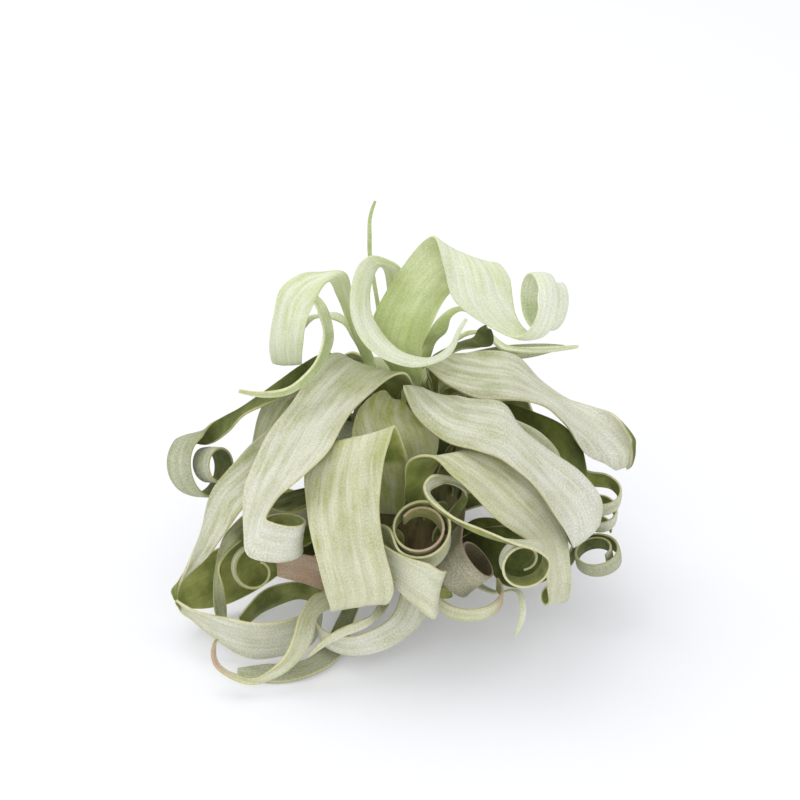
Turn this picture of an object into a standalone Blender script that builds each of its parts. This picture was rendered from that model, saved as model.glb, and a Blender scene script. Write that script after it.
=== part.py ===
"""Air plant: a bare rosette of broad, curling leaves seated on a small swollen stem.

The plant stands on the flat underside of its stem, +Z up, the origin in the middle of
that flat spot. The front is -Y. Leaf stations are in millimetres; the meshes in metres.

A leaf is a thin ribbon between two edges. It starts at its seat on the stem, runs through
the stations of its left and right edge, and may end in coils that wind about an axis.
The middle of the blade stands off the line between the edges by the depth of its channel.
"""
import math
from dataclasses import dataclass

import bmesh
import bpy
import numpy as np

# ---- driving dimensions, in millimetres and degrees
MM = 0.001
BLADE_THICKNESS = 1.0
SEAT_GAP = 1.15         # from the stem's skin to the middle of the blade's thickness
SEAT_RISE = 4.0         # height over which a leaf base hugs the stem
SEAT_LIFT = 0.6         # how far the base has left the stem at the top of that height
STEM_PROFILE = [(0, 8), (1.5, 12), (8, 18), (18, 22.5), (30, 23.5), (42, 21.5),
                (54, 17.5), (64, 13), (71, 8.5), (75, 3.5), (76, 0)]
STEM_SIDES = 48
LONGEST_STEP = 8.5      # longest facet along a blade
SHORTEST_STEP = 1.2     # a facet is never shorter, however the blade bends
LARGEST_TURN = 22.0     # most that a blade turns from one facet to the next
COIL_STEP = 28.0        # turn between two stations of a coil
COIL_RIB = 0.6          # share of the channel's depth that a coil starts with
SPAN_SAMPLES = 24

# ---- colours (linear), roughness
PALE = ("pale_leaf", (0.52, 0.56, 0.42), 0.85)
YOUNG = ("young_leaf", (0.50, 0.58, 0.27), 0.8)
OUTER = ("outer_leaf", (0.60, 0.62, 0.52), 0.88)
SHADED = ("shaded_leaf", (0.22, 0.28, 0.10), 0.8)
BLUSH = ("blush_leaf", (0.50, 0.40, 0.32), 0.85)
STEM = ("stem", (0.30, 0.24, 0.15), 0.9)


@dataclass(frozen=True)
class Coil:
    """A stretch that winds about an axis, from where the blade is to a last radius and width."""
    centre: tuple
    axis: tuple
    turns: float
    radius: float
    width: float
    advance: float
    width_power: float = 1.0


@dataclass(frozen=True)
class Leaf:
    """A blade: its seat (azimuth, height, half angle), edge stations and coils."""
    name: str
    seat: tuple
    rib: float
    rails: list
    coils: tuple = ()
    look: tuple = PALE


LEAVES = [
    Leaf("leaf_needle", seat=(106, 68, 4), rib=0.2, look=YOUNG, rails=[
        ((-7, 12, 85.5), (-4.5, 12, 85.5)), ((-8, 13, 96.5), (-7, 13, 97)),
        ((-9.5, 12, 107.5), (-8.5, 12, 107.5)), ((-10.5, 10, 116.5), (-9.5, 10, 116.5)),
        ((-10.5, 8, 124), (-9.5, 8, 123.5)), ((-10, 6, 131.5), (-9.5, 6, 131)),
        ((-8.5, 4, 137.5), (-8, 4, 138)),
    ]),
    Leaf("leaf_left_hook", seat=(150, 67, 10), rib=0.6, look=YOUNG, rails=[
        ((-12, 9, 75.5), (-9.5, 11, 77.5)), ((-14.5, 8, 83), (-12.5, 11, 85)),
        ((-18, 3, 95.5), (-15, 9, 93.5)), ((-20.5, -2, 106.5), (-16, 6, 103.5)),
        ((-23, -8, 114.5), (-18.5, 2, 113.5)), ((-25.5, -12, 114), (-25.5, -2, 115)),
        ((-27.5, -14, 110.5), (-32, -6, 116.5)), ((-29.5, -15, 106), (-38.5, -9, 113)),
        ((-31, -15, 100), (-41, -10, 104.5)), ((-32, -13, 92.5), (-43, -8, 91)),
        ((-32.5, -9, 86), (-42.5, -4, 83)), ((-33, -3, 84.5), (-42, 1, 83)),
        ((-33, 2, 89.5), (-40.5, 6, 88.5)), ((-32, 5, 96.5), (-38, 9, 96.5)),
        ((-30.5, 6, 101), (-34, 10, 103)), ((-28.5, 0, 103.5), (-28.5, 5, 104.5)),
        ((-26.5, -7, 103), (-24.5, -1, 103)), ((-25, -13, 100.5), (-22.5, -6, 98)),
        ((-25, -19, 98.5), (-22, -13, 95.5)), ((-26.5, -24, 94.5), (-24, -19, 92)),
        ((-30.5, -28, 91), (-28.5, -25, 88)), ((-36.5, -29, 86.5), (-36, -27, 83.5)),
        ((-44, -28, 84.5), (-44, -26.5, 82)), ((-52, -26, 84), (-52.5, -25, 83)),
    ]),
    Leaf("leaf_left_thread", seat=(124, 67, 6), rib=0.3, look=YOUNG, rails=[
        ((-12, 14, 75.5), (-10, 16, 77)), ((-16.5, 15, 83), (-14.5, 17, 86)),
        ((-19, 12, 89.5), (-18, 15, 90)), ((-22.5, 12, 91.5), (-21.5, 15, 92.5)),
        ((-26.5, 12, 92.5), (-26.5, 14, 92.5)), ((-30, 12, 91), (-31, 13, 92)),
        ((-32.5, 12, 88.5), (-32.5, 12, 89)),
    ]),
    Leaf("leaf_centre_loop", seat=(84, 71, 10), rib=0.8, look=YOUNG, rails=[
        ((-3.5, 5, 84.5), (1, 3, 85.5)), ((-3.5, 9, 97), (0.5, 7, 98)), ((-4, 9, 104), (1, 7, 105)),
        ((-5, 6, 112), (0.5, 5, 113.5)), ((-6.5, 2, 116), (-4, -1, 119.5)),
        ((-8, -1, 116), (-9, -5, 122.5)), ((-9, -4, 114), (-13, -9, 121)),
        ((-10, -8, 109.5), (-16, -13, 112.5)), ((-9.5, -11, 104.5), (-15.5, -16, 104.5)),
        ((-5.5, -14, 98.5), (-11, -19, 97)), ((0, -16, 93.5), (-4, -20, 92)),
        ((6.5, -16, 91), (5, -20, 89.5)), ((11.5, -15, 91), (13.5, -18, 91)),
        ((16.5, -14, 94.5), (17.5, -16, 94)), ((19.5, -12, 99.5), (20, -13, 99.5)),
        ((22, -11, 102.5), (22, -11, 102.5)),
    ]),
    Leaf("leaf_top_fold", seat=(-62, 71, 26), rib=1.2, look=YOUNG, rails=[
        ((-3, -6, 82), (7.5, -9, 83)), ((-8.5, -5, 90.5), (7, -10, 91.5)),
        ((-9.5, -4, 97), (10.5, -9, 99.5)), ((-5.5, -2, 106.5), (14.5, -7, 107.5)),
        ((0.5, 0, 116), (19, -5, 112)), ((7, 2, 124), (25, -4, 115.5)),
        ((10, -1, 127.5), (29, -5, 119.5)), ((12, -6, 127.5), (32, -10, 121.5)),
        ((14, -11, 121.5), (35, -14, 119)), ((17, -15, 112), (36, -17, 113.5)),
        ((24, -18, 106.5), (37, -19, 108.5)), ((31, -20, 103), (39.5, -21, 104.5)),
        ((35.5, -23, 102.5), (42.5, -23, 103)),
    ], coils=(
        Coil((40, -22, 113.5), (0.91, 0.35, -0.19), turns=-1.6, radius=6.5,
             width=4, advance=10, width_power=1.5),
    )),
    Leaf("leaf_top_small", seat=(57, 68, 6), rib=0.6, look=YOUNG, rails=[
        ((5.5, 12, 73.5), (9, 12.5, 74)), ((7, 15, 79), (12.5, 14.5, 82.5)),
        ((10, 14, 86), (16, 12, 87.5)), ((13.5, 15, 90.5), (17.5, 13, 92)),
        ((17.5, 16, 93.5), (21, 14, 94)), ((23, 17, 93.5), (24.5, 15, 92)),
        ((28, 16, 92.5), (28, 14, 90.5)),
    ]),
    Leaf("leaf_crown_stub", seat=(13, 68, 5), rib=0.8, look=SHADED, rails=[
        ((10, 5.5, 79), (12.5, 2.5, 79.5)), ((17, 12, 81), (20.5, 9, 81.5)),
        ((22, 15.5, 81.5), (27, 13, 80.5)), ((25.5, 16, 83), (31.5, 14, 81)),
        ((27, 16, 86), (32, 14, 84.5)), ((29.5, 15, 88), (31, 14, 87)),
    ]),
    Leaf("leaf_front_left", seat=(-113, 65, 14), rib=1.2, look=OUTER, rails=[
        ((-10, -6, 75), (1, -10.5, 77)), ((-16, -3, 82), (4.5, -12.5, 78)),
        ((-22.5, -7, 88.5), (2, -18, 86)), ((-29, -18, 85.5), (-4, -21.5, 86)),
        ((-35.5, -28, 80.5), (-12.5, -29, 82)), ((-43, -37, 73), (-18, -38, 78.5)),
        ((-48.5, -45, 64), (-23.5, -47, 73)), ((-50, -51, 56.5), (-31, -53, 67.5)),
        ((-50, -56, 49), (-39, -56, 62)), ((-48, -61, 43.5), (-42.5, -60, 57)),
    ], coils=(
        Coil((-40, -54.5, 39.5), (0.15, 0.1, 1), turns=1.3, radius=4, width=2, advance=-4),
    )),
    Leaf("leaf_front_fold", seat=(-106, 40, 13), rib=1.0, rails=[
        ((-16, -28, 42.5), (-0.5, -29, 40)), ((-24, -34, 61.5), (3.5, -38, 60)),
        ((-28.5, -38, 71), (-1.5, -47, 82.5)), ((-29.5, -42, 67), (-3, -53, 81)),
        ((-30.5, -47, 61.5), (-5.5, -57, 74)), ((-29, -57, 54.5), (-6.5, -61, 62)),
        ((-26, -64, 42), (-5, -65, 49)), ((-22.5, -67, 29), (-2, -67, 34.5)),
    ], coils=(
        Coil((-12, -61.5, 30.5), (1, 0.1, 0.15), turns=0.85, radius=2.5, width=2, advance=-8),
    )),
    Leaf("leaf_heart", seat=(-77, 61, 13), rib=1.4, rails=[
        ((-2, -16.5, 70), (6, -16, 70)), ((-5.5, -17.5, 80), (1.5, -18, 76.5)),
        ((-13, -25, 77.5), (5, -23, 73)), ((-15.5, -33, 70), (12, -27, 70.5)),
        ((-12, -34, 61.5), (12, -30, 62.5)), ((-5, -33, 55), (8, -30, 54.5)),
        ((0.5, -31, 49), (3.5, -30, 49)),
    ]),
    Leaf("leaf_right_sash", seat=(-41, 61, 13), rib=1.2, look=OUTER, rails=[
        ((14, -10, 70), (8, -17, 71)), ((10, -14, 77), (1, -23.5, 84)),
        ((17.5, -15, 76), (5, -30, 77.5)), ((20, -18, 77.5), (14.5, -38, 72.5)),
        ((25.5, -20, 78), (24, -42, 71)), ((33.5, -23, 77.5), (32.5, -44, 69)),
        ((39, -28, 72.5), (40, -46, 64)), ((48, -31.5, 65), (45, -48, 58)),
        ((59.5, -33, 57.5), (49.5, -48, 51.5)), ((65.5, -36, 49.5), (53, -46.5, 44.5)),
        ((65.5, -38, 42), (56, -44, 37)),
    ], coils=(
        Coil((58.5, -37.5, 39.5), (-0.77, -0.49, -0.41), turns=-0.9, radius=2.5, width=3, advance=0),
    )),
    Leaf("leaf_right_shoulder", seat=(-8, 62, 14), rib=1.2, look=OUTER, rails=[
        ((15, 1.5, 81.5), (9, -6, 82.5)), ((23.5, 8, 80), (15.5, -10, 78)),
        ((32.5, 10, 79.5), (24.5, -13, 75)), ((40, 9, 77.5), (34, -15, 75.5)),
        ((47, 7, 70.5), (42.5, -14, 73.5)), ((54.5, 4, 65.5), (50, -13, 70.5)),
        ((61, 2, 63), (55.5, -12, 64.5)), ((77.5, 0, 56.5), (59, -13, 58)),
        ((82.5, -4, 53.5), (63.5, -13, 52.5)), ((81.5, -8, 52), (68.5, -13, 50)),
    ], coils=(
        Coil((74.5, -8.5, 48.5), (-0.92, -0.36, -0.14), turns=-0.25, radius=3, width=5, advance=0),
    )),
    Leaf("leaf_right_apron", seat=(-60, 33, 11), rib=0.8, rails=[
        ((2, -38, 50.5), (8.5, -35, 47.5)), ((1.5, -43, 59), (10, -38, 58.5)),
        ((2.5, -46, 69), (14.5, -38, 66)), ((10.5, -48, 72), (22, -37, 69)),
        ((17, -51, 67), (30, -36.5, 67.5)), ((24, -54, 60.5), (38.5, -37, 64)),
        ((31.5, -56, 53.5), (45.5, -40, 58)), ((39, -54, 46), (52, -36.5, 46.5)),
        ((45.5, -53, 41.5), (55, -41, 37.5)), ((47, -54, 34.5), (55.5, -47, 32)),
        ((48, -53, 26), (56, -48, 24)), ((49, -49, 17.5), (55.5, -45, 15.5)),
    ], coils=(
        Coil((51, -44, 17.5), (0.82, 0.51, -0.25), turns=0.7, radius=2.5, width=3, advance=0),
    )),
    Leaf("leaf_left_scroll", seat=(188, 60, 13), rib=0.8, look=SHADED, rails=[
        ((-14, 3, 73), (-13.5, -4, 72)), ((-23.5, 3, 83.5), (-20.5, -5, 82)),
        ((-33, 1, 80), (-31, -6, 76.5)), ((-41, -2, 75.5), (-39, -8, 72.5)),
        ((-48, -5, 71), (-46, -11, 70.5)), ((-53.5, -8, 68.5), (-52.5, -12, 67.5)),
        ((-59.5, -10, 66), (-58, -15, 62.5)), ((-64, -11.5, 63.5), (-65.5, -12.5, 56.5)),
        ((-65.5, -19, 63.5), (-74, -13, 59.5)),
    ], coils=(
        Coil((-68.5, -17.5, 50.5), (0.77, -0.565, 0.3), turns=1.5, radius=4, width=6, advance=8.5),
    )),
    Leaf("leaf_floor_cone", seat=(-163, 49, 14), rib=0.9, look=OUTER, rails=[
        ((-35, -4, 70), (-23, -18, 64.5)), ((-44, -13, 63.5), (-33, -27, 57)),
        ((-53, -24, 58.5), (-44, -36, 52)), ((-61.5, -32, 51), (-51, -39, 48)),
        ((-65.5, -36, 38.5), (-57.5, -40, 39)), ((-70, -39, 27), (-64, -38, 28)),
        ((-73, -42, 20), (-71.5, -38, 20.5)), ((-73.5, -47, 14), (-76, -43, 17)),
        ((-68, -50, 10.5), (-70.5, -49, 16)), ((-58, -55, 4.5), (-60.5, -57, 17.5)),
        ((-46, -58, 1.5), (-48, -62, 18.5)), ((-35, -55, 2), (-35, -58, 17)),
        ((-27.5, -46, 2), (-26.5, -47, 15)), ((-27, -37, 6.5), (-26, -40, 16.5)),
        ((-34, -33, 8.5), (-33.5, -35, 16.5)), ((-45, -34, 4.5), (-45, -37, 14.5)),
        ((-53.5, -40, 1), (-54, -43, 7.5)),
    ]),
    Leaf("leaf_floor_tail", seat=(-125, 12, 7), rib=0.6, rails=[
        ((-18.5, -35, 18), (-13, -37.5, 16)), ((-21, -45, 21), (-15.5, -48, 18.5)),
        ((-28.5, -56, 24.5), (-24, -57, 20)), ((-32, -64, 22.5), (-27, -60, 18.5)),
        ((-34, -68, 17.5), (-28.5, -65, 14)), ((-37, -71, 11.5), (-33, -68, 7.5)),
        ((-41, -73, 8), (-39, -72, 4.5)), ((-47, -75, 6), (-47, -76, 4.5)),
        ((-53.5, -74, 7.5), (-54, -76, 7)), ((-58, -72, 10), (-59, -74, 10.5)),
        ((-59, -70, 13.5), (-60, -71, 14)), ((-58.5, -69, 16.5), (-58, -69, 17)),
    ]),
    Leaf("leaf_left_strip", seat=(-154, 33, 9), rib=0.7, look=SHADED, rails=[
        ((-47.5, -28, 43.5), (-45, -28, 35.5)), ((-52, -33, 41), (-51, -33, 33)),
        ((-57.5, -36, 36.5), (-53, -38, 34)), ((-60, -36, 30.5), (-57.5, -38, 29.5)),
        ((-61, -39, 26.5), (-60, -42, 26.5)), ((-62, -42, 20.5), (-58.5, -44, 20)),
        ((-62, -43, 11), (-58, -43, 11)), ((-61, -41, 3.5), (-58.5, -39, 2)),
    ]),
    Leaf("leaf_right_helix", seat=(-14, 33, 13), rib=0.6, look=OUTER, rails=[
        ((33, -8, 48), (35, 2, 50)), ((46, -8, 44), (49, 1, 49)), ((56, -9, 42.5), (58, -5, 48)),
        ((64.5, -9, 38.5), (64, -8, 44)), ((70, -9.5, 38), (70, -9.5, 43.5)),
    ], coils=(
        Coil((70, -15, 42.5), (0, -0.2, 0.98), turns=-2.2, radius=3.6, width=4, advance=-19),
    )),
    Leaf("leaf_right_ribbon", seat=(-54, 24, 9), rib=0.8, look=OUTER, rails=[
        ((21.5, -36, 54.5), (22, -34, 50)), ((14, -46, 64), (15, -43, 59.5)),
        ((9.5, -54, 68), (10.5, -49, 61)), ((7.5, -58, 67), (9.5, -54, 62)),
        ((9, -60, 64), (12, -57, 60)), ((16, -62, 59), (16.5, -58, 56)),
        ((25.5, -64, 55), (26.5, -60, 51)), ((35, -65.5, 51.5), (36, -60, 48.5)),
        ((43, -66, 48.5), (44.5, -58.5, 47)),
    ], coils=(
        Coil((38.5, -60, 41), (0.15, -0.98, 0.08), turns=-1.35, radius=4.5, width=3, advance=-6.5),
    )),
    Leaf("leaf_front_ring", seat=(-96, 24, 9), rib=0.8, rails=[
        ((-6, -36, 33.5), (-2, -36, 38.5)), ((-9, -42, 35.5), (-9, -44, 44.5)),
        ((-7, -47, 36.5), (-7, -51, 49)), ((-3.5, -51, 36), (-3.5, -57, 50.5)),
    ], coils=(
        Coil((6.5, -53, 47.5), (0, -0.6, 0.8), turns=1.85, radius=6.5, width=7, advance=3, width_power=0.6),
    )),
    Leaf("leaf_tube", seat=(-46, 15, 9), rib=0.8, look=BLUSH, rails=[
        ((12.5, -27, 29), (20, -24, 30)), ((12, -36, 32), (20.5, -36, 40.5)),
        ((11, -46, 32.5), (20, -47, 41.5)),
    ], coils=(
        Coil((21.5, -48, 31), (0.74, -0.04, 0.67), turns=1.1, radius=6, width=10, advance=0),
    )),
    Leaf("leaf_low_ring", seat=(-68, 8, 9), rib=0.6, rails=[
        ((17, -40, 17.5), (17.5, -38, 12.5)), ((12.5, -50, 24), (11.5, -50, 19)),
    ], coils=(
        Coil((22.5, -50, 22.5), (0, -0.1, 1), turns=0.58, radius=11, width=5, advance=0),
    )),
    Leaf("leaf_low_sweep", seat=(-93, 9, 9), rib=0.5, look=OUTER, rails=[
        ((-0.5, -36, 18), (7.5, -34, 15.5)), ((1, -50, 26), (9, -48, 18)),
        ((-2, -57, 19), (7, -54, 12.5)), ((-9.5, -64, 16.5), (-3.5, -61, 8)),
        ((-18, -64, 14.5), (-16.5, -61, 5)), ((-24.5, -60, 13.5), (-24, -57, 5)),
        ((-28, -53, 13.5), (-27, -51, 6.5)),
    ]),
    Leaf("leaf_right_thread", seat=(41, 66, 3.5), rib=0.4, look=YOUNG, rails=[
        ((13, 12.5, 75), (15, 14, 76)), ((21.5, 20, 81), (23.5, 22, 82.5)),
        ((30, 21, 82.5), (31.5, 23, 80.5)), ((32, 19, 80), (34, 21, 79.5)),
        ((35.5, 15, 78.5), (37, 17, 79.5)), ((42, 12, 79), (42.5, 13, 80.5)),
        ((50.5, 12, 79), (51, 12, 81)), ((61, 12, 81), (61, 12, 81.5)),
    ]),
    Leaf("leaf_notch_upper", seat=(-136, 40, 11), rib=0.7, look=SHADED, rails=[
        ((-30.5, -32, 43.5), (-27.5, -28, 35.5)), ((-35, -38, 45.5), (-34, -35, 38.5)),
        ((-39, -42, 48.5), (-38, -40, 42)), ((-42.5, -45, 51), (-41.5, -43, 44)),
        ((-42.5, -47, 49), (-42, -44, 43)),
    ]),
    Leaf("leaf_notch_lower", seat=(-128, 27, 8), rib=0.7, look=BLUSH, rails=[
        ((-24, -32, 35), (-20, -35, 25)), ((-24.5, -43, 32), (-23, -45, 19.5)),
        ((-33, -44, 33), (-31.5, -46, 23)), ((-41, -43, 30.5), (-40.5, -44, 24.5)),
    ]),
    Leaf("leaf_right_shade", seat=(-10, 47, 13), rib=0.8, look=SHADED, rails=[
        ((25, -10, 64), (25, -1, 67)), ((35, -14, 61), (36, -2, 67)), ((46, -17, 57), (47, -4, 64)),
        ((54, -19, 52), (56, -6, 59.5)), ((59, -21, 47.5), (61.5, -9, 54)),
        ((61.5, -22, 43), (63, -14, 49.5)), ((62, -22, 40), (63, -17, 44.5)),
    ]),
    Leaf("leaf_right_ring", seat=(-24, 12, 8), rib=0.5, look=SHADED, rails=[
        ((29, -23, 15), (31, -17, 27)), ((36, -29, 11), (38, -22, 30)), ((45, -31, 12), (47, -25, 27)),
        ((53, -28, 14.5), (52.5, -29, 23)), ((58.5, -23, 15.5), (57.5, -24, 21.5)),
    ], coils=(
        Coil((67, -25.5, 18.5), (-0.2, -0.15, 0.97), turns=-1.6, radius=5, width=4.5, advance=2),
    )),
    Leaf("leaf_low_thread", seat=(-50, 7, 5), rib=0.3, look=YOUNG, rails=[
        ((30, -33, 11), (32, -32, 11)), ((38.5, -44, 18.5), (40.5, -43, 17.5)),
        ((40, -50, 14.5), (41.5, -49, 13)), ((38, -50, 5), (38.5, -49, 4)),
    ]),
    Leaf("leaf_front_tip", seat=(-108, 15, 5), rib=0.3, rails=[
        ((-6, -42, 20), (-2.5, -41, 19)), ((-8.5, -59, 20.5), (-5.5, -58, 19.5)),
        ((-12.5, -66, 22), (-10.5, -65, 19)), ((-21, -69, 19.5), (-20, -68, 16.5)),
        ((-29.5, -71, 12), (-29.5, -71, 11)),
    ]),
    Leaf("leaf_left_curl", seat=(-147, 18, 7), rib=0.5, look=SHADED, rails=[
        ((-33.5, -32, 28), (-32.5, -32, 22.5)), ((-41, -39, 32.5), (-39, -39, 26)),
    ], coils=(
        Coil((-48.5, -42, 25.5), (0.3, -0.8, 0.5), turns=1.1, radius=3, width=2, advance=2),
    )),
    Leaf("leaf_left_inner", seat=(170, 53, 8), rib=0.8, look=SHADED, rails=[
        ((-20, 5, 62), (-20.5, -2, 61)), ((-30, 6, 75.5), (-26.5, 1, 69.5)),
        ((-37, 6, 73), (-33, 0, 66)), ((-44, 5, 68), (-38, -2, 62.5)), ((-48, 2, 61), (-42, -6, 58.5)),
        ((-50.5, -2, 52.5), (-45, -8, 52)), ((-51.5, -5, 44.5), (-47, -9, 45.5)),
    ]),
    Leaf("leaf_right_middle", seat=(-35.5, 48, 6), rib=0.7, look=OUTER, rails=[
        ((16.5, -19, 60), (20, -14.5, 60.5)), ((21.5, -22, 70), (28.5, -17, 73)),
        ((29, -26, 65), (37.5, -20, 70.5)), ((38, -28, 59.5), (46.5, -22, 66.5)),
        ((44.5, -30, 53), (52.5, -24, 60)), ((48.5, -31, 46), (54, -27, 53)),
        ((50.5, -31, 40), (54, -28, 44)),
    ]),
    Leaf("leaf_floor_inner", seat=(-167, 13, 9), rib=0.6, rails=[
        ((-31, -6, 22), (-31, -10, 12)), ((-44, -18, 28), (-43, -19, 8)),
        ((-60, -29, 26.5), (-58, -29, 3.5)), ((-67, -32, 23), (-65.5, -33, 4.5)),
        ((-72.5, -34, 17.5), (-71.5, -36, 6.5)), ((-75.5, -36, 14), (-74.5, -38, 9.5)),
    ]),
    Leaf("leaf_floor_under", seat=(-117, 7, 5), rib=0.2, look=SHADED, rails=[
        ((-21, -40, 5), (-16, -42, 4)), ((-24.5, -50, 3), (-18, -52, 2)),
        ((-29.5, -59, 2.5), (-23, -62, 1.5)), ((-37, -61.5, 2), (-31, -68, 1.5)),
        ((-43, -62, 2), (-39, -70, 1)), ((-48, -63, 2), (-46, -69, 1)),
        ((-53, -64, 2), (-53, -66, 1.5)),
    ]),
    Leaf("leaf_right_point", seat=(28.5, 67, 3), rib=0.3, look=SHADED, rails=[
        ((14.5, 7.5, 74.5), (13, 10, 76.5)), ((28, 17.5, 72.5), (25.5, 20, 75.5)),
        ((37, 18, 73), (34.5, 21, 77)), ((46.5, 19, 74), (45, 22, 77.5)),
        ((53, 20, 75.5), (52, 22, 77.5)), ((57.5, 21, 76.5), (57, 22, 77)),
    ]),
    Leaf("leaf_front_cone", seat=(-84, 16, 6), rib=0.8, rails=[
        ((-4, -31, 21.5), (3, -32, 24)), ((-10, -38, 23), (-8, -38, 29.5)),
        ((-13.5, -48, 27), (-13.5, -49, 43)), ((-9, -55, 31), (-9, -56.5, 48)),
        ((-3, -60.5, 33), (-2, -62, 46)), ((3, -65, 28.5), (4.5, -67, 45.5)),
        ((7.5, -67.5, 26), (9.5, -69, 45)), ((10.5, -67, 23.5), (13, -67.5, 42)),
        ((12, -63.5, 23.5), (14.5, -63.5, 39.5)),
    ]),
    Leaf("leaf_inner_right", seat=(-36, 38, 5), rib=0.8, look=SHADED, rails=[
        ((13, -20, 46), (24, -15, 45)), ((12, -26, 53), (27, -20, 52)), ((14, -30, 60), (28, -25, 60)),
        ((17, -32, 64), (26, -29, 64)),
    ]),
    Leaf("leaf_crown_shade", seat=(-126, 56, 8), rib=0.8, look=SHADED, rails=[
        ((-17, -14, 66), (-9, -19, 65)), ((-20, -18, 67), (-10, -25, 65)),
        ((-20.5, -22, 62), (-13, -28, 59)), ((-18, -25, 56), (-15, -27, 54)),
    ]),
]

# ---- leaves behind the plant, in tiers that each hold a course of (radius, height) rows
@dataclass(frozen=True)
class Tier:
    """A ring of leaves: seat height, half width of a blade, (radius, height) rows and their widths."""
    seat_height: float
    half_width: float
    rows: tuple
    widths: tuple
    rolls: tuple
    look: tuple = PALE


@dataclass(frozen=True)
class BackLeaf:
    """A leaf of a tier, with what sets it apart from its neighbours and the coil it ends in."""
    name: str
    tier: Tier
    azimuth: float
    reach: float
    rise: float
    width: float
    sway: float             # degrees that the tip has swung round the stem
    coil: tuple             # first radius, turns (below 0 curls up), last radius, advance


UPPER = Tier(60, 9.5, ((16, 69), (24.5, 70), (37, 65), (49, 56), (54.5, 46)),
             (0.42, 0.75, 1, 1, 0.9), (16, 16, 12, 10, 12))
MIDDLE = Tier(43, 8.5, ((24, 48), (33, 47), (44, 37), (56, 29), (61, 20)),
              (0.6, 0.9, 1, 0.95, 0.85), (14, 14, 10, 9, 9), SHADED)
LOWER = Tier(29, 7.5, ((27, 36), (35, 30), (43, 19), (48, 11)), (0.75, 1, 1, 0.85), (12, 8, 6, 4))
SPREAD = Tier(29, 7.5, ((27, 36), (35, 28), (44, 14), (56, 7), (64, 7)), (0.75, 1, 1, 0.95, 0.85),
              (12, 8, 6, 4, 4))
SKIRT = Tier(11, 6, ((27, 17), (36, 16), (45, 10.5), (51, 9)), (0.8, 1, 0.9, 0.75), (8, 6, 4, 3), OUTER)
BACK_SEAT_HALF_ANGLE = 12.0
SKIRT_SEAT_HALF_ANGLE = 9.0
BACK_COIL_WIDTH = 2.5
COIL_LEAN = 0.15
BACK_RIB = 1.0
BACK_LEAVES = [
    BackLeaf("back_upper_1", UPPER, 36, 1.05, 0, 1.0, 5, (5, 1.2, 2.5, 9)),
    BackLeaf("back_upper_2", UPPER, 71, 0.9, 1, 1.1, -4, (4.5, 0.9, 3.5, -5)),
    BackLeaf("back_upper_3", UPPER, 105, 1.12, 0, 0.9, 5, (6, 1.6, 2, 10)),
    BackLeaf("back_upper_4", UPPER, 142, 0.95, 1, 1.0, -5, (4.5, 1.1, 2.5, -8)),
    BackLeaf("back_middle_1", MIDDLE, 20, 0.95, 2, 0.95, -4, (4.5, 1.1, 2.5, -7)),
    BackLeaf("back_middle_2", MIDDLE, 54, 1.0, 2, 1.1, 5, (4.5, 1.2, 2, 9)),
    BackLeaf("back_middle_3", MIDDLE, 90, 0.88, 4, 0.9, -6, (5, 0.9, 3.5, -6)),
    BackLeaf("back_middle_4", MIDDLE, 124, 1.08, 1, 1.0, -3, (4.5, 1.2, 2, -8)),
    BackLeaf("back_middle_5", MIDDLE, 160, 0.94, 3, 1.05, -3, (5, 0.8, 4, -5)),
    BackLeaf("back_lower_1", LOWER, 16, 1.0, 0, 1.0, -3, (4, 0.8, 3, -6)),
    BackLeaf("back_lower_2", SPREAD, 56, 1.0, 0, 1.0, 3, (3, -0.8, 2.5, 5)),
    BackLeaf("back_lower_3", LOWER, 98, 1.05, 2, 0.95, 1, (5, 0.8, 3.5, 7)),
    BackLeaf("back_lower_4", SPREAD, 139, 0.9, 1, 0.95, 3, (4, -0.7, 3, 5)),
    BackLeaf("back_skirt_1", SKIRT, -2, 0.9, 0, 0.9, -5, (3, -0.8, 2.5, -4)),
    BackLeaf("back_skirt_2", SKIRT, 36, 1.05, 0, 1.0, -3, (3, -0.9, 2, -5)),
    BackLeaf("back_skirt_3", SKIRT, 76, 0.9, 0, 1.05, 1, (2.5, -0.7, 2, 5)),
    BackLeaf("back_skirt_4", SKIRT, 120, 1.1, 0, 0.9, 3, (3, -0.9, 2, 5)),
    BackLeaf("back_skirt_5", SKIRT, 161, 1.0, 1, 1.0, 2, (3.5, -0.8, 2.5, 5)),
]


def unit(vector):
    """The vector at length one."""
    vector = np.asarray(vector, dtype=float)
    return vector / max(np.linalg.norm(vector), 1e-12)


def stem_radius(height):
    """Radius of the stem's skin at a height."""
    heights = [z for z, _ in STEM_PROFILE]
    radii = [r for _, r in STEM_PROFILE]
    return float(np.interp(height, heights, radii))


def seat_station(azimuth, height, half_angle, lift):
    """Edges of a leaf base that hugs the stem, with the depth that makes it follow the round."""
    top = min(height + 1, STEM_PROFILE[-1][0])
    slope = (stem_radius(top) - stem_radius(height - 1)) / (top - height + 1)
    radius = stem_radius(height) + (SEAT_GAP + lift) * math.hypot(1, slope)
    centre, half = math.radians(azimuth), math.radians(half_angle)
    edges = []
    for angle in (centre - half, centre + half):
        edges += [radius * math.cos(angle), radius * math.sin(angle), height]
    return edges + [radius * (1 - math.cos(half))]


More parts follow.
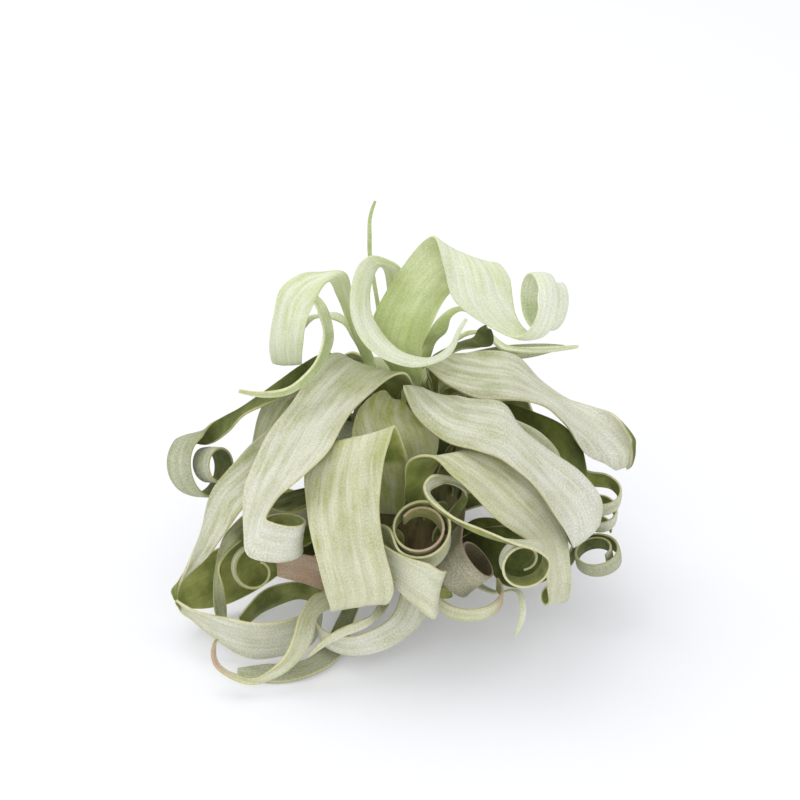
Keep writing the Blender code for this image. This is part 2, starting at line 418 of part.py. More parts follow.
def coil_stations(start, coil, rib):
    """Stations of a coil that begins where the blade has come to."""
    left, right = np.array(start[:3]), np.array(start[3:6])
    axis, centre = unit(coil.axis), np.array(coil.centre, dtype=float)
    middle, first_width = (left + right) / 2, np.linalg.norm(right - left)
    side = 1 if (right - left) @ axis > 0 else -1
    along = (middle - centre) @ axis
    spoke = middle - centre - along * axis
    first_radius = np.linalg.norm(spoke)
    spoke = spoke / first_radius
    across = np.cross(axis, spoke)
    count = max(3, int(abs(coil.turns) * 360 / COIL_STEP))
    stations = []
    for index in range(1, count + 1):
        part = index / count
        angle = 2 * math.pi * coil.turns * part
        radius = first_radius + (coil.radius - first_radius) * part
        point = (centre + axis * (along + coil.advance * part)
                 + (spoke * math.cos(angle) + across * math.sin(angle)) * radius)
        half = (first_width + (coil.width - first_width) * part ** coil.width_power) / 2
        edge = axis * side * half
        stations.append([*(point - edge), *(point + edge), rib * (1 - part) * COIL_RIB])
    return stations


def smooth_course(stations):
    """Dense points on a smooth curve through the stations, with even pace between them."""
    knots = np.asarray(stations, dtype=float)
    middles = (knots[:, :3] + knots[:, 3:6]) / 2
    gaps = np.sqrt(np.maximum(np.linalg.norm(np.diff(middles, axis=0), axis=1), 1e-6))
    slopes = np.zeros_like(knots)
    for i in range(1, len(knots) - 1):
        before, after = gaps[i - 1], gaps[i]
        slopes[i] = (after * (knots[i] - knots[i - 1]) / before
                     + before * (knots[i + 1] - knots[i]) / after) / (before + after)
    slopes[0] = 1.5 * (knots[1] - knots[0]) / gaps[0] - 0.5 * slopes[1]
    slopes[-1] = 1.5 * (knots[-1] - knots[-2]) / gaps[-1] - 0.5 * slopes[-2]
    u = np.linspace(0, 1, SPAN_SAMPLES, endpoint=False)[:, None]
    spans = []
    for i, gap in enumerate(gaps):
        spans.append((2 * u**3 - 3 * u**2 + 1) * knots[i] + (u**3 - 2 * u**2 + u) * gap * slopes[i]
                     + (-2 * u**3 + 3 * u**2) * knots[i + 1] + (u**3 - u**2) * gap * slopes[i + 1])
    return np.concatenate(spans + [knots[-1:]])


def leaf_course(leaf):
    """Dense rows of a leaf: left edge, right edge and channel depth."""
    azimuth, height, half_angle = leaf.seat
    stations = [seat_station(azimuth, height, half_angle, 0.0),
                seat_station(azimuth, height + SEAT_RISE, half_angle, SEAT_LIFT)]
    stations += [[*left, *right, leaf.rib] for left, right in leaf.rails]
    for coil in leaf.coils:
        stations += coil_stations(stations[-1], coil, leaf.rib)
    return smooth_course(stations)


def blade_rows(course):
    """Left edge, rib and right edge of every row; the rib stands off away from the stem."""
    left, right, depth = course[:, :3], course[:, 3:6], course[:, 6]
    middle = (left + right) / 2
    along = np.gradient(middle, axis=0)
    normal = np.cross(along, right - left)
    normal /= np.maximum(np.linalg.norm(normal, axis=1)[:, None], 1e-9)
    outward = middle[0] * [1, 1, 0]
    if normal[0] @ outward < 0:
        normal = -normal
    return np.stack([left, middle + normal * depth[:, None], right], axis=1), normal


def coarse_rows(course):
    """The rows to keep: few on straight stretches, more where the blade bends or twists."""
    rows, normal = blade_rows(course)
    middle = (rows[:, 0] + rows[:, 2]) / 2
    along = np.gradient(middle, axis=0)
    along /= np.maximum(np.linalg.norm(along, axis=1)[:, None], 1e-9)
    kept, last, length = [0], 0, 0.0
    for i in range(1, len(rows)):
        length += np.linalg.norm(middle[i] - middle[i - 1])
        turn = max(along[last] @ along[i], -1), max(normal[last] @ normal[i], -1)
        bend = math.degrees(math.acos(min(1.0, min(turn))))
        if (bend > LARGEST_TURN or length > LONGEST_STEP) and length > SHORTEST_STEP:
            kept.append(i)
            last, length = i, 0.0
    if kept[-1] != len(rows) - 1:
        if length < SHORTEST_STEP:
            kept.pop()
        kept.append(len(rows) - 1)
    return rows[kept]


def arch_station(azimuth, radius, height, roll, half_width):
    """Edges of a back leaf where its course is at a radius and a height."""
    angle, tilt = math.radians(azimuth), math.radians(roll)
    centre = np.array([radius * math.cos(angle), radius * math.sin(angle), height])
    tangent = np.array([-math.sin(angle), math.cos(angle), 0.0])
    across = (tangent * math.cos(tilt) + np.array([0, 0, math.sin(tilt)])) * half_width
    return tuple(centre - across), tuple(centre + across)


def end_coil(row, before, azimuth, coil):
    """The coil that carries on the way from one (radius, height) row to the next."""
    first_radius, turns, last_radius, advance = coil
    out, up = unit([row[0] - before[0], row[1] - before[1]])
    bend = math.copysign(first_radius, turns)
    angle = math.radians(azimuth)
    radius, height = row[0] + up * bend, row[1] - out * bend
    return Coil(centre=(radius * math.cos(angle), radius * math.sin(angle), height),
                axis=(-math.sin(angle), math.cos(angle), COIL_LEAN), turns=turns,
                radius=last_radius, width=BACK_COIL_WIDTH, advance=advance)


def back_leaf(leaf):
    """A leaf of the far side, laid out by the course of its tier."""
    tier = leaf.tier
    last = len(tier.rows) - 1
    start = tier.rows[0][0]
    course, rails = [], []
    for index, (radius, height) in enumerate(tier.rows):
        part = index / last
        row = (start + (radius - start) * leaf.reach, height + leaf.rise * part)
        course.append(row)
        rails.append(arch_station(leaf.azimuth + leaf.sway * part ** 2, *row, tier.rolls[index],
                                  tier.half_width * leaf.width * tier.widths[index]))
    coil = end_coil(course[-1], course[-2], leaf.azimuth + leaf.sway, leaf.coil)
    half_angle = SKIRT_SEAT_HALF_ANGLE if tier is SKIRT else BACK_SEAT_HALF_ANGLE
    return Leaf(name=f"leaf_{leaf.name}", seat=(leaf.azimuth, tier.seat_height, half_angle),
                rib=BACK_RIB, rails=rails, coils=(coil,), look=tier.look)


def make_material(look):
    """A Principled BSDF of one colour."""
    name, colour, roughness = look
    material = bpy.data.materials.get(name)
    if material is None:
        material = bpy.data.materials.new(name)
        material.use_nodes = True
        shader = material.node_tree.nodes["Principled BSDF"]
        shader.inputs["Base Color"].default_value = (*colour, 1.0)
        shader.inputs["Roughness"].default_value = roughness
        shader.inputs["Metallic"].default_value = 0.0
    return material


def add_object(name, mesh, look, collection):
    """Link a mesh as a named object with its material."""
    mesh.materials.append(make_material(look))
    thing = bpy.data.objects.new(name, mesh)
    collection.objects.link(thing)
    return thing


def make_leaf(leaf, collection):
    """A blade of even thickness on a grid that is laid along the leaf's course."""
    rows = coarse_rows(leaf_course(leaf))
    last = len(rows) - 1
    grid = bmesh.new()
    bmesh.ops.create_grid(grid, x_segments=2, y_segments=last, size=1.0)
    for vertex in grid.verts:
        column = round((vertex.co.x + 1) / 2 * 2)
        row = round((vertex.co.y + 1) / 2 * last)
        vertex.co = rows[row][column] * MM
    bmesh.ops.triangulate(grid, faces=grid.faces, quad_method="FIXED")
    mesh = bpy.data.meshes.new(leaf.name)
    grid.to_mesh(mesh)
    grid.free()
    blade = add_object(leaf.name, mesh, leaf.look, collection)
    skin = blade.modifiers.new("thickness", "SOLIDIFY")
    skin.thickness = BLADE_THICKNESS * MM
    skin.offset = 0.0
    return blade


def make_stem(collection):
    """The swollen stem: a turned profile that runs down from its tip to the flat underside."""
    profile = bmesh.new()
    points = [(r, z) for z, r in reversed(STEM_PROFILE)] + [(0, 0)]
    corners = [profile.verts.new((r * MM, 0, z * MM)) for r, z in points]
    for upper, lower in zip(corners, corners[1:]):
        profile.edges.new((upper, lower))
    mesh = bpy.data.meshes.new("stem")
    profile.to_mesh(mesh)
    profile.free()
    stem = add_object("stem", mesh, STEM, collection)
    turn = stem.modifiers.new("turn", "SCREW")
    turn.axis = "Z"
    turn.steps = STEM_SIDES
    turn.render_steps = STEM_SIDES
    turn.use_merge_vertices = True
    turn.merge_threshold = 0.0001
    turn.use_smooth_shade = True
    return stem


def main():
    """Build the whole plant in an empty scene."""
    for thing in list(bpy.data.objects):
        bpy.data.objects.remove(thing, do_unlink=True)
    plant = bpy.data.collections.new("air_plant")
    bpy.context.scene.collection.children.link(plant)
    make_stem(plant)
    for leaf in LEAVES:
        make_leaf(leaf, plant)
    for leaf in BACK_LEAVES:
        make_leaf(back_leaf(leaf), plant)


if __name__ == "__main__":
    main()
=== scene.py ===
"""Looks of the air plant: fine curling blades, a sheathed stem, a pale floor and soft light.

Every blade follows the same stations as its solid in the frame, at a finer pace, with soft
edges, a grooved midline and its own slow wave. Stations are in millimetres, +Z up.
"""
from __future__ import annotations

import logging
import math
import zlib
from dataclasses import dataclass, field
from enum import Enum

import bpy
import numpy as np
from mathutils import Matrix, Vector

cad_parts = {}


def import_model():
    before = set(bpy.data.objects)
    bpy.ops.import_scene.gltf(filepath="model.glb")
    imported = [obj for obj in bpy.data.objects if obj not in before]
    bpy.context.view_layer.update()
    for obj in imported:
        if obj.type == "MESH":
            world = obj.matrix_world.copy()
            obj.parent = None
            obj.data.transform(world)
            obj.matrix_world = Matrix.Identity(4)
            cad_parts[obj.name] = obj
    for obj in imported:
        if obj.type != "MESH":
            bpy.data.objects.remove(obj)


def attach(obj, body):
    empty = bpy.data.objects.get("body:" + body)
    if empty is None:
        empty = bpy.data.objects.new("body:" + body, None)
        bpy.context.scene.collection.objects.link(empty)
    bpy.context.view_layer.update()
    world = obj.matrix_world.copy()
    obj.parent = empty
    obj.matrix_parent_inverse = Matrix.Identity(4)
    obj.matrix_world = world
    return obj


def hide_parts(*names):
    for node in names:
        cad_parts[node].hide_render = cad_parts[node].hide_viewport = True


LOG = logging.getLogger("air_plant")
MM = 0.001
UV_SCALE = 0.01         # UV units per millimetre of leaf
SEAT_GAP = 1.15         # from the stem's skin to the middle of the blade's thickness
SEAT_RISE = 4.0         # height over which a leaf base hugs the stem
SEAT_LIFT = 0.6         # how far the base has left the stem at the top of that height
STEM_PROFILE = [(0, 8), (1.5, 12), (8, 18), (18, 22.5), (30, 23.5), (42, 21.5),
                (54, 17.5), (64, 13), (71, 8.5), (75, 3.5), (76, 0)]
STEM_TOP = STEM_PROFILE[-1][0]
COIL_STEP = 28.0        # turn between two stations of a coil
COIL_RIB = 0.6          # share of the channel's depth that a coil starts with
SPAN_SAMPLES = 24
FEWEST_ROWS = 10
BASE_PART = 12          # one row in so many belongs to the base, which only hugs the stem
MOIST_TIP = 0.86        # "along" mark at the tip of a fresh blade; what lies beyond it is dry
SMOOTHING = np.array([1, 2, 3, 2, 1]) / 9
TINY = 1e-9
Colour = tuple[float, float, float]


class Tone(Enum):
    """The colour that a leaf wears."""
    PALE = "pale_leaf"
    YOUNG_GLOW = "young_leaf"
    OUTER = "outer_leaf"
    SHADED = "shaded_leaf"
    BLUSH = "blush_leaf"


PALE, YOUNG_GLOW, OUTER, SHADED, BLUSH = Tone


def unit(vector: np.ndarray | tuple | list) -> np.ndarray:
    """The vector at length one."""
    vector = np.asarray(vector, dtype=float)
    return vector / max(np.linalg.norm(vector), TINY)


def unit_rows(vectors: np.ndarray) -> np.ndarray:
    """Every row at length one."""
    return vectors / np.maximum(np.linalg.norm(vectors, axis=1)[:, None], TINY)


def run_along(points: np.ndarray) -> np.ndarray:
    """Distance travelled at every point of a line."""
    return np.concatenate([[0], np.cumsum(np.linalg.norm(np.diff(points, axis=0), axis=1))])


def smooth_step(value: np.ndarray) -> np.ndarray:
    """Rise smoothly from 0 to 1 as the value does."""
    value = np.clip(value, 0, 1)
    return value**2 * (3 - 2 * value)


def across_of(rows: np.ndarray) -> np.ndarray:
    """From the left edge to the right edge of every row."""
    return rows[:, 3:6] - rows[:, :3]


def width_of(rows: np.ndarray) -> np.ndarray:
    """Width of every row."""
    return np.linalg.norm(across_of(rows), axis=1)


def middle_of(rows: np.ndarray) -> np.ndarray:
    """Middle of every row."""
    return (rows[:, :3] + rows[:, 3:6]) / 2


def polar(azimuth: float, radius: float, height: float) -> np.ndarray:
    """A point at a direction in degrees, a distance from the axis and a height."""
    angle = math.radians(azimuth)
    return np.array([radius * math.cos(angle), radius * math.sin(angle), height])


@dataclass(frozen=True)
class Coil:
    """A stretch that winds about an axis, to a last radius and width."""
    centre: tuple
    axis: tuple
    turns: float
    radius: float
    width: float
    advance: float              # how far it moves along its axis
    width_power: float = 1.0    # above 1 the blade keeps its width for longer


@dataclass(frozen=True)
class EdgeRoll:
    """A stretch of the left edge that has rolled over onto the blade's outer face."""
    start: float                # shares of the blade's length
    full: float
    share: float = 0.3          # share of the width that rolls
    turn: float = 3.3           # radians
    columns: int = 24
    least_turn: float = 1e-3    # radians, where the edge lies flat

    def bend(self, points: np.ndarray, rows: np.ndarray, run: np.ndarray,
             outward: np.ndarray) -> np.ndarray:
        """Roll the edge.

        Args:
            points: Points of the blade's middle surface.
            rows: Left edge, right edge and depth of every row.
            run: Distance along the blade at every row.
            outward: Direction of the outer face at every row.

        Returns:
            The points with the edge rolled over.
        """
        across, width = unit_rows(across_of(rows)), width_of(rows)
        ramp = smooth_step((run / run[-1] - self.start) / (self.full - self.start))
        turn = np.maximum(self.turn * ramp, self.least_turn)
        radius = self.share * width / turn
        fold = int(round(self.share * (points.shape[1] - 1)))
        rolled = points.copy()
        for column in range(fold):
            angle = (fold - column) / fold * turn
            rolled[:, column] = (points[:, fold] - across * (radius * np.sin(angle))[:, None]
                                 + outward * (radius * (1 - np.cos(angle)))[:, None])
        return rolled


@dataclass(frozen=True)
class Leaf:
    """A blade: its seat (azimuth, height, half angle), stations of left and right edge, and coils."""
    name: str
    seat: tuple
    rib: float
    rails: list
    coils: tuple = ()
    look: Tone = PALE
    frost: float = 1.0          # how thickly scurf covers it
    ripe: float = MOIST_TIP     # its "along" mark at the tip
    flip: float = -1.0          # share of its length up to which its faces are swapped
    roll: EdgeRoll | None = None


LEAVES: list[Leaf] = [
    Leaf("leaf_needle", seat=(106, 68, 4), rib=0.2, look=YOUNG_GLOW, frost=0.4, ripe=1.0, rails=[
        (-7, 12, 85.5, -4.5, 12, 85.5), (-8, 13, 96.5, -7, 13, 97), (-9.5, 12, 107.5, -8.5, 12, 107.5),
        (-10.5, 10, 116.5, -9.5, 10, 116.5), (-10.5, 8, 124, -9.5, 8, 123.5),
        (-10, 6, 131.5, -9.5, 6, 131), (-8.5, 4, 137.5, -8, 4, 138),
    ]),
    Leaf("leaf_left_hook", seat=(150, 67, 10), rib=0.6, look=YOUNG_GLOW, frost=0.7, ripe=1.0, rails=[
        (-12, 9, 75.5, -9.5, 11, 77.5), (-14.5, 8, 83, -12.5, 11, 85), (-18, 3, 95.5, -15, 9, 93.5),
        (-20.5, -2, 106.5, -16, 6, 103.5), (-23, -8, 114.5, -18.5, 2, 113.5),
        (-25.5, -12, 114, -25.5, -2, 115), (-27.5, -14, 110.5, -32, -6, 116.5),
        (-29.5, -15, 106, -38.5, -9, 113), (-31, -15, 100, -41, -10, 104.5), (-32, -13, 92.5, -43, -8, 91),
        (-32.5, -9, 86, -42.5, -4, 83), (-33, -3, 84.5, -42, 1, 83), (-33, 2, 89.5, -40.5, 6, 88.5),
        (-32, 5, 96.5, -38, 9, 96.5), (-30.5, 6, 101, -34, 10, 103), (-28.5, 0, 103.5, -28.5, 5, 104.5),
        (-26.5, -7, 103, -24.5, -1, 103), (-25, -13, 100.5, -22.5, -6, 98),
        (-25, -19, 98.5, -22, -13, 95.5), (-26.5, -24, 94.5, -24, -19, 92),
        (-30.5, -28, 91, -28.5, -25, 88), (-36.5, -29, 86.5, -36, -27, 83.5),
        (-44, -28, 84.5, -44, -26.5, 82), (-52, -26, 84, -52.5, -25, 83),
    ]),
    Leaf("leaf_left_thread", seat=(124, 67, 6), rib=0.3, look=YOUNG_GLOW, rails=[
        (-12, 14, 75.5, -10, 16, 77), (-16.5, 15, 83, -14.5, 17, 86), (-19, 12, 89.5, -18, 15, 90),
        (-22.5, 12, 91.5, -21.5, 15, 92.5), (-26.5, 12, 92.5, -26.5, 14, 92.5), (-30, 12, 91, -31, 13, 92),
        (-32.5, 12, 88.5, -32.5, 12, 89),
    ]),
    Leaf("leaf_centre_loop", seat=(84, 71, 10), rib=0.8, look=YOUNG_GLOW, frost=0.75, flip=1.1, rails=[
        (-3.5, 5, 84.5, 1, 3, 85.5), (-3.5, 9, 97, 0.5, 7, 98), (-4, 9, 104, 1, 7, 105),
        (-5, 6, 112, 0.5, 5, 113.5), (-6.5, 2, 116, -4, -1, 119.5), (-8, -1, 116, -9, -5, 122.5),
        (-9, -4, 114, -13, -9, 121), (-10, -8, 109.5, -16, -13, 112.5),
        (-9.5, -11, 104.5, -15.5, -16, 104.5), (-5.5, -14, 98.5, -11, -19, 97),
        (0, -16, 93.5, -4, -20, 92), (6.5, -16, 91, 5, -20, 89.5), (11.5, -15, 91, 13.5, -18, 91),
        (16.5, -14, 94.5, 17.5, -16, 94), (19.5, -12, 99.5, 20, -13, 99.5),
        (22, -11, 102.5, 22, -11, 102.5),
    ]),
    Leaf("leaf_top_fold", seat=(-62, 71, 26), rib=1.2, look=YOUNG_GLOW, frost=1.15, flip=0.56, rails=[
        (-3, -6, 82, 7.5, -9, 83), (-8.5, -5, 90.5, 7, -10, 91.5), (-9.5, -4, 97, 10.5, -9, 99.5),
        (-5.5, -2, 106.5, 14.5, -7, 107.5), (0.5, 0, 116, 19, -5, 112), (7, 2, 124, 25, -4, 115.5),
        (10, -1, 127.5, 29, -5, 119.5), (12, -6, 127.5, 32, -10, 121.5), (14, -11, 121.5, 35, -14, 119),
        (17, -15, 112, 36, -17, 113.5), (24, -18, 106.5, 37, -19, 108.5), (31, -20, 103, 39.5, -21, 104.5),
        (35.5, -23, 102.5, 42.5, -23, 103),
    ], coils=(
        Coil((40, -22, 113.5), (0.91, 0.35, -0.19), turns=-1.6, radius=6.5, width=4, advance=10,
             width_power=1.5),
    )),
    Leaf("leaf_top_small", seat=(57, 68, 6), rib=0.6, look=YOUNG_GLOW, frost=0.4, rails=[
        (5.5, 12, 73.5, 9, 12.5, 74), (7, 15, 79, 12.5, 14.5, 82.5), (10, 14, 86, 16, 12, 87.5),
        (13.5, 15, 90.5, 17.5, 13, 92), (17.5, 16, 93.5, 21, 14, 94), (23, 17, 93.5, 24.5, 15, 92),
        (28, 16, 92.5, 28, 14, 90.5),
    ]),
    Leaf("leaf_crown_stub", seat=(13, 68, 5), rib=0.8, look=SHADED, rails=[
        (10, 5.5, 79, 12.5, 2.5, 79.5), (17, 12, 81, 20.5, 9, 81.5), (22, 15.5, 81.5, 27, 13, 80.5),
        (25.5, 16, 83, 31.5, 14, 81), (27, 16, 86, 32, 14, 84.5), (29.5, 15, 88, 31, 14, 87),
    ]),
    Leaf("leaf_front_left", seat=(-113, 65, 14), rib=1.2, look=OUTER, frost=1.15, rails=[
        (-10, -6, 75, 1, -10.5, 77), (-16, -3, 82, 4.5, -12.5, 78), (-22.5, -7, 88.5, 2, -18, 86),
        (-29, -18, 85.5, -4, -21.5, 86), (-35.5, -28, 80.5, -12.5, -29, 82),
        (-43, -37, 73, -18, -38, 78.5), (-48.5, -45, 64, -23.5, -47, 73), (-50, -51, 56.5, -31, -53, 67.5),
        (-50, -56, 49, -39, -56, 62), (-48, -61, 43.5, -42.5, -60, 57),
    ], coils=(
        Coil((-40, -54.5, 39.5), (0.15, 0.1, 1), turns=1.3, radius=4, width=2, advance=-4),
    )),
    Leaf("leaf_front_fold", seat=(-106, 40, 13), rib=1.0, frost=0.7, flip=0.3, rails=[
        (-16, -28, 42.5, -0.5, -29, 40), (-24, -34, 61.5, 3.5, -38, 60), (-28.5, -38, 71, -1.5, -47, 82.5),
        (-29.5, -42, 67, -3, -53, 81), (-30.5, -47, 61.5, -5.5, -57, 74), (-29, -57, 54.5, -6.5, -61, 62),
        (-26, -64, 42, -5, -65, 49), (-22.5, -67, 29, -2, -67, 34.5),
    ], coils=(
        Coil((-12, -61.5, 30.5), (1, 0.1, 0.15), turns=0.85, radius=2.5, width=2, advance=-8),
    )),
    Leaf("leaf_heart", seat=(-77, 61, 13), rib=1.4, frost=0.3, rails=[
        (-2, -16.5, 70, 6, -16, 70), (-5.5, -17.5, 80, 1.5, -18, 76.5), (-13, -25, 77.5, 5, -23, 73),
        (-15.5, -33, 70, 12, -27, 70.5), (-12, -34, 61.5, 12, -30, 62.5), (-5, -33, 55, 8, -30, 54.5),
        (0.5, -31, 49, 3.5, -30, 49),
    ]),
    Leaf("leaf_right_sash", seat=(-41, 61, 13), rib=1.2, look=OUTER, frost=1.15, rails=[
        (14, -10, 70, 8, -17, 71), (10, -14, 77, 1, -23.5, 84), (17.5, -15, 76, 5, -30, 77.5),
        (20, -18, 77.5, 14.5, -38, 72.5), (25.5, -20, 78, 24, -42, 71), (33.5, -23, 77.5, 32.5, -44, 69),
        (39, -28, 72.5, 40, -46, 64), (48, -31.5, 65, 45, -48, 58), (59.5, -33, 57.5, 49.5, -48, 51.5),
        (65.5, -36, 49.5, 53, -46.5, 44.5), (65.5, -38, 42, 56, -44, 37),
    ], coils=(
        Coil((58.5, -37.5, 39.5), (-0.77, -0.49, -0.41), turns=-0.9, radius=2.5, width=3, advance=0),
    )),
    Leaf("leaf_right_shoulder", seat=(-8, 62, 14), rib=1.2, look=OUTER, frost=0.95,
         roll=EdgeRoll(0.68, 0.9), rails=[
        (15, 1.5, 81.5, 9, -6, 82.5), (23.5, 8, 80, 15.5, -10, 78), (32.5, 10, 79.5, 24.5, -13, 75),
        (40, 9, 77.5, 34, -15, 75.5), (47, 7, 70.5, 42.5, -14, 73.5), (54.5, 4, 65.5, 50, -13, 70.5),
        (61, 2, 63, 55.5, -12, 64.5), (77.5, 0, 56.5, 59, -13, 58), (82.5, -4, 53.5, 63.5, -13, 52.5),
        (81.5, -8, 52, 68.5, -13, 50),
    ], coils=(
        Coil((74.5, -8.5, 48.5), (-0.92, -0.36, -0.14), turns=-0.25, radius=3, width=5, advance=0),
    )),
    Leaf("leaf_right_apron", seat=(-60, 33, 11), rib=0.8, frost=0.9, rails=[
        (2, -38, 50.5, 8.5, -35, 47.5), (1.5, -43, 59, 10, -38, 58.5), (2.5, -46, 69, 14.5, -38, 66),
        (10.5, -48, 72, 22, -37, 69), (17, -51, 67, 30, -36.5, 67.5), (24, -54, 60.5, 38.5, -37, 64),
        (31.5, -56, 53.5, 45.5, -40, 58), (39, -54, 46, 52, -36.5, 46.5), (45.5, -53, 41.5, 55, -41, 37.5),
        (47, -54, 34.5, 55.5, -47, 32), (48, -53, 26, 56, -48, 24), (49, -49, 17.5, 55.5, -45, 15.5),
    ], coils=(
        Coil((51, -44, 17.5), (0.82, 0.51, -0.25), turns=0.7, radius=2.5, width=3, advance=0),
    )),
    Leaf("leaf_left_scroll", seat=(188, 60, 13), rib=0.8, look=SHADED, rails=[
        (-14, 3, 73, -13.5, -4, 72), (-23.5, 3, 83.5, -20.5, -5, 82), (-33, 1, 80, -31, -6, 76.5),
        (-41, -2, 75.5, -39, -8, 72.5), (-48, -5, 71, -46, -11, 70.5), (-53.5, -8, 68.5, -52.5, -12, 67.5),
        (-59.5, -10, 66, -58, -15, 62.5), (-64, -11.5, 63.5, -65.5, -12.5, 56.5),
        (-65.5, -19, 63.5, -74, -13, 59.5),
    ], coils=(
        Coil((-68.5, -17.5, 50.5), (0.77, -0.565, 0.3), turns=1.5, radius=4, width=6, advance=8.5),
    )),
    Leaf("leaf_floor_cone", seat=(-163, 49, 14), rib=0.9, look=OUTER, rails=[
        (-35, -4, 70, -23, -18, 64.5), (-44, -13, 63.5, -33, -27, 57), (-53, -24, 58.5, -44, -36, 52),
        (-61.5, -32, 51, -51, -39, 48), (-65.5, -36, 38.5, -57.5, -40, 39), (-70, -39, 27, -64, -38, 28),
        (-73, -42, 20, -71.5, -38, 20.5), (-73.5, -47, 14, -76, -43, 17), (-68, -50, 10.5, -70.5, -49, 16),
        (-58, -55, 4.5, -60.5, -57, 17.5), (-46, -58, 1.5, -48, -62, 18.5), (-35, -55, 2, -35, -58, 17),
        (-27.5, -46, 2, -26.5, -47, 15), (-27, -37, 6.5, -26, -40, 16.5),
        (-34, -33, 8.5, -33.5, -35, 16.5), (-45, -34, 4.5, -45, -37, 14.5), (-53.5, -40, 1, -54, -43, 7.5),
    ]),
    Leaf("leaf_floor_tail", seat=(-125, 12, 7), rib=0.6, frost=0.8, ripe=1.05, rails=[
        (-18.5, -35, 18, -13, -37.5, 16), (-21, -45, 21, -15.5, -48, 18.5),
        (-28.5, -56, 24.5, -24, -57, 20), (-32, -64, 22.5, -27, -60, 18.5),
        (-34, -68, 17.5, -28.5, -65, 14), (-37, -71, 11.5, -33, -68, 7.5), (-41, -73, 8, -39, -72, 4.5),
        (-47, -75, 6, -47, -76, 4.5), (-53.5, -74, 7.5, -54, -76, 7), (-58, -72, 10, -59, -74, 10.5),
        (-59, -70, 13.5, -60, -71, 14), (-58.5, -69, 16.5, -58, -69, 17),
    ]),
    Leaf("leaf_left_strip", seat=(-154, 33, 9), rib=0.7, look=SHADED, frost=0.4, rails=[
        (-47.5, -28, 43.5, -45, -28, 35.5), (-52, -33, 41, -51, -33, 33), (-57.5, -36, 36.5, -53, -38, 34),
        (-60, -36, 30.5, -57.5, -38, 29.5), (-61, -39, 26.5, -60, -42, 26.5),
        (-62, -42, 20.5, -58.5, -44, 20), (-62, -43, 11, -58, -43, 11), (-61, -41, 3.5, -58.5, -39, 2),
    ]),
    Leaf("leaf_right_helix", seat=(-14, 33, 13), rib=0.6, look=OUTER, frost=0.6, rails=[
        (33, -8, 48, 35, 2, 50), (46, -8, 44, 49, 1, 49), (56, -9, 42.5, 58, -5, 48),
        (64.5, -9, 38.5, 64, -8, 44), (70, -9.5, 38, 70, -9.5, 43.5),
    ], coils=(
        Coil((70, -15, 42.5), (0, -0.2, 0.98), turns=-2.2, radius=3.6, width=4, advance=-19),
    )),
    Leaf("leaf_right_ribbon", seat=(-54, 24, 9), rib=0.8, look=OUTER, frost=0.7, rails=[
        (21.5, -36, 54.5, 22, -34, 50), (14, -46, 64, 15, -43, 59.5), (9.5, -54, 68, 10.5, -49, 61),
        (7.5, -58, 67, 9.5, -54, 62), (9, -60, 64, 12, -57, 60), (16, -62, 59, 16.5, -58, 56),
        (25.5, -64, 55, 26.5, -60, 51), (35, -65.5, 51.5, 36, -60, 48.5), (43, -66, 48.5, 44.5, -58.5, 47),
    ], coils=(
        Coil((38.5, -60, 41), (0.15, -0.98, 0.08), turns=-1.35, radius=4.5, width=3, advance=-6.5),
    )),
    Leaf("leaf_front_ring", seat=(-96, 24, 9), rib=0.8, frost=0.7, ripe=1.2, rails=[
        (-6, -36, 33.5, -2, -36, 38.5), (-9, -42, 35.5, -9, -44, 44.5), (-7, -47, 36.5, -7, -51, 49),
        (-3.5, -51, 36, -3.5, -57, 50.5),
    ], coils=(
        Coil((6.5, -53, 47.5), (0, -0.6, 0.8), turns=1.85, radius=6.5, width=7, advance=3,
             width_power=0.6),
    )),
    Leaf("leaf_tube", seat=(-46, 15, 9), rib=0.8, look=BLUSH, rails=[
        (12.5, -27, 29, 20, -24, 30), (12, -36, 32, 20.5, -36, 40.5), (11, -46, 32.5, 20, -47, 41.5),
    ], coils=(
        Coil((21.5, -48, 31), (0.74, -0.04, 0.67), turns=1.1, radius=6, width=10, advance=0),
    )),
    Leaf("leaf_low_ring", seat=(-68, 8, 9), rib=0.6, frost=0.6, ripe=1.1, rails=[
        (17, -40, 17.5, 17.5, -38, 12.5), (12.5, -50, 24, 11.5, -50, 19),
    ], coils=(
        Coil((22.5, -50, 22.5), (0, -0.1, 1), turns=0.58, radius=11, width=5, advance=0),
    )),
    Leaf("leaf_low_sweep", seat=(-93, 9, 9), rib=0.5, look=OUTER, rails=[
        (-0.5, -36, 18, 7.5, -34, 15.5), (1, -50, 26, 9, -48, 18), (-2, -57, 19, 7, -54, 12.5),
        (-9.5, -64, 16.5, -3.5, -61, 8), (-18, -64, 14.5, -16.5, -61, 5), (-24.5, -60, 13.5, -24, -57, 5),
        (-28, -53, 13.5, -27, -51, 6.5),
    ]),
    Leaf("leaf_right_thread", seat=(41, 66, 3.5), rib=0.4, look=YOUNG_GLOW, frost=0.5, rails=[
        (13, 12.5, 75, 15, 14, 76), (21.5, 20, 81, 23.5, 22, 82.5), (30, 21, 82.5, 31.5, 23, 80.5),
        (32, 19, 80, 34, 21, 79.5), (35.5, 15, 78.5, 37, 17, 79.5), (42, 12, 79, 42.5, 13, 80.5),
        (50.5, 12, 79, 51, 12, 81), (61, 12, 81, 61, 12, 81.5),
    ]),
    Leaf("leaf_notch_upper", seat=(-136, 40, 11), rib=0.7, look=SHADED, rails=[
        (-30.5, -32, 43.5, -27.5, -28, 35.5), (-35, -38, 45.5, -34, -35, 38.5),
        (-39, -42, 48.5, -38, -40, 42), (-42.5, -45, 51, -41.5, -43, 44), (-42.5, -47, 49, -42, -44, 43),
    ]),
    Leaf("leaf_notch_lower", seat=(-128, 27, 8), rib=0.7, look=BLUSH, frost=1.2, ripe=1.9, rails=[
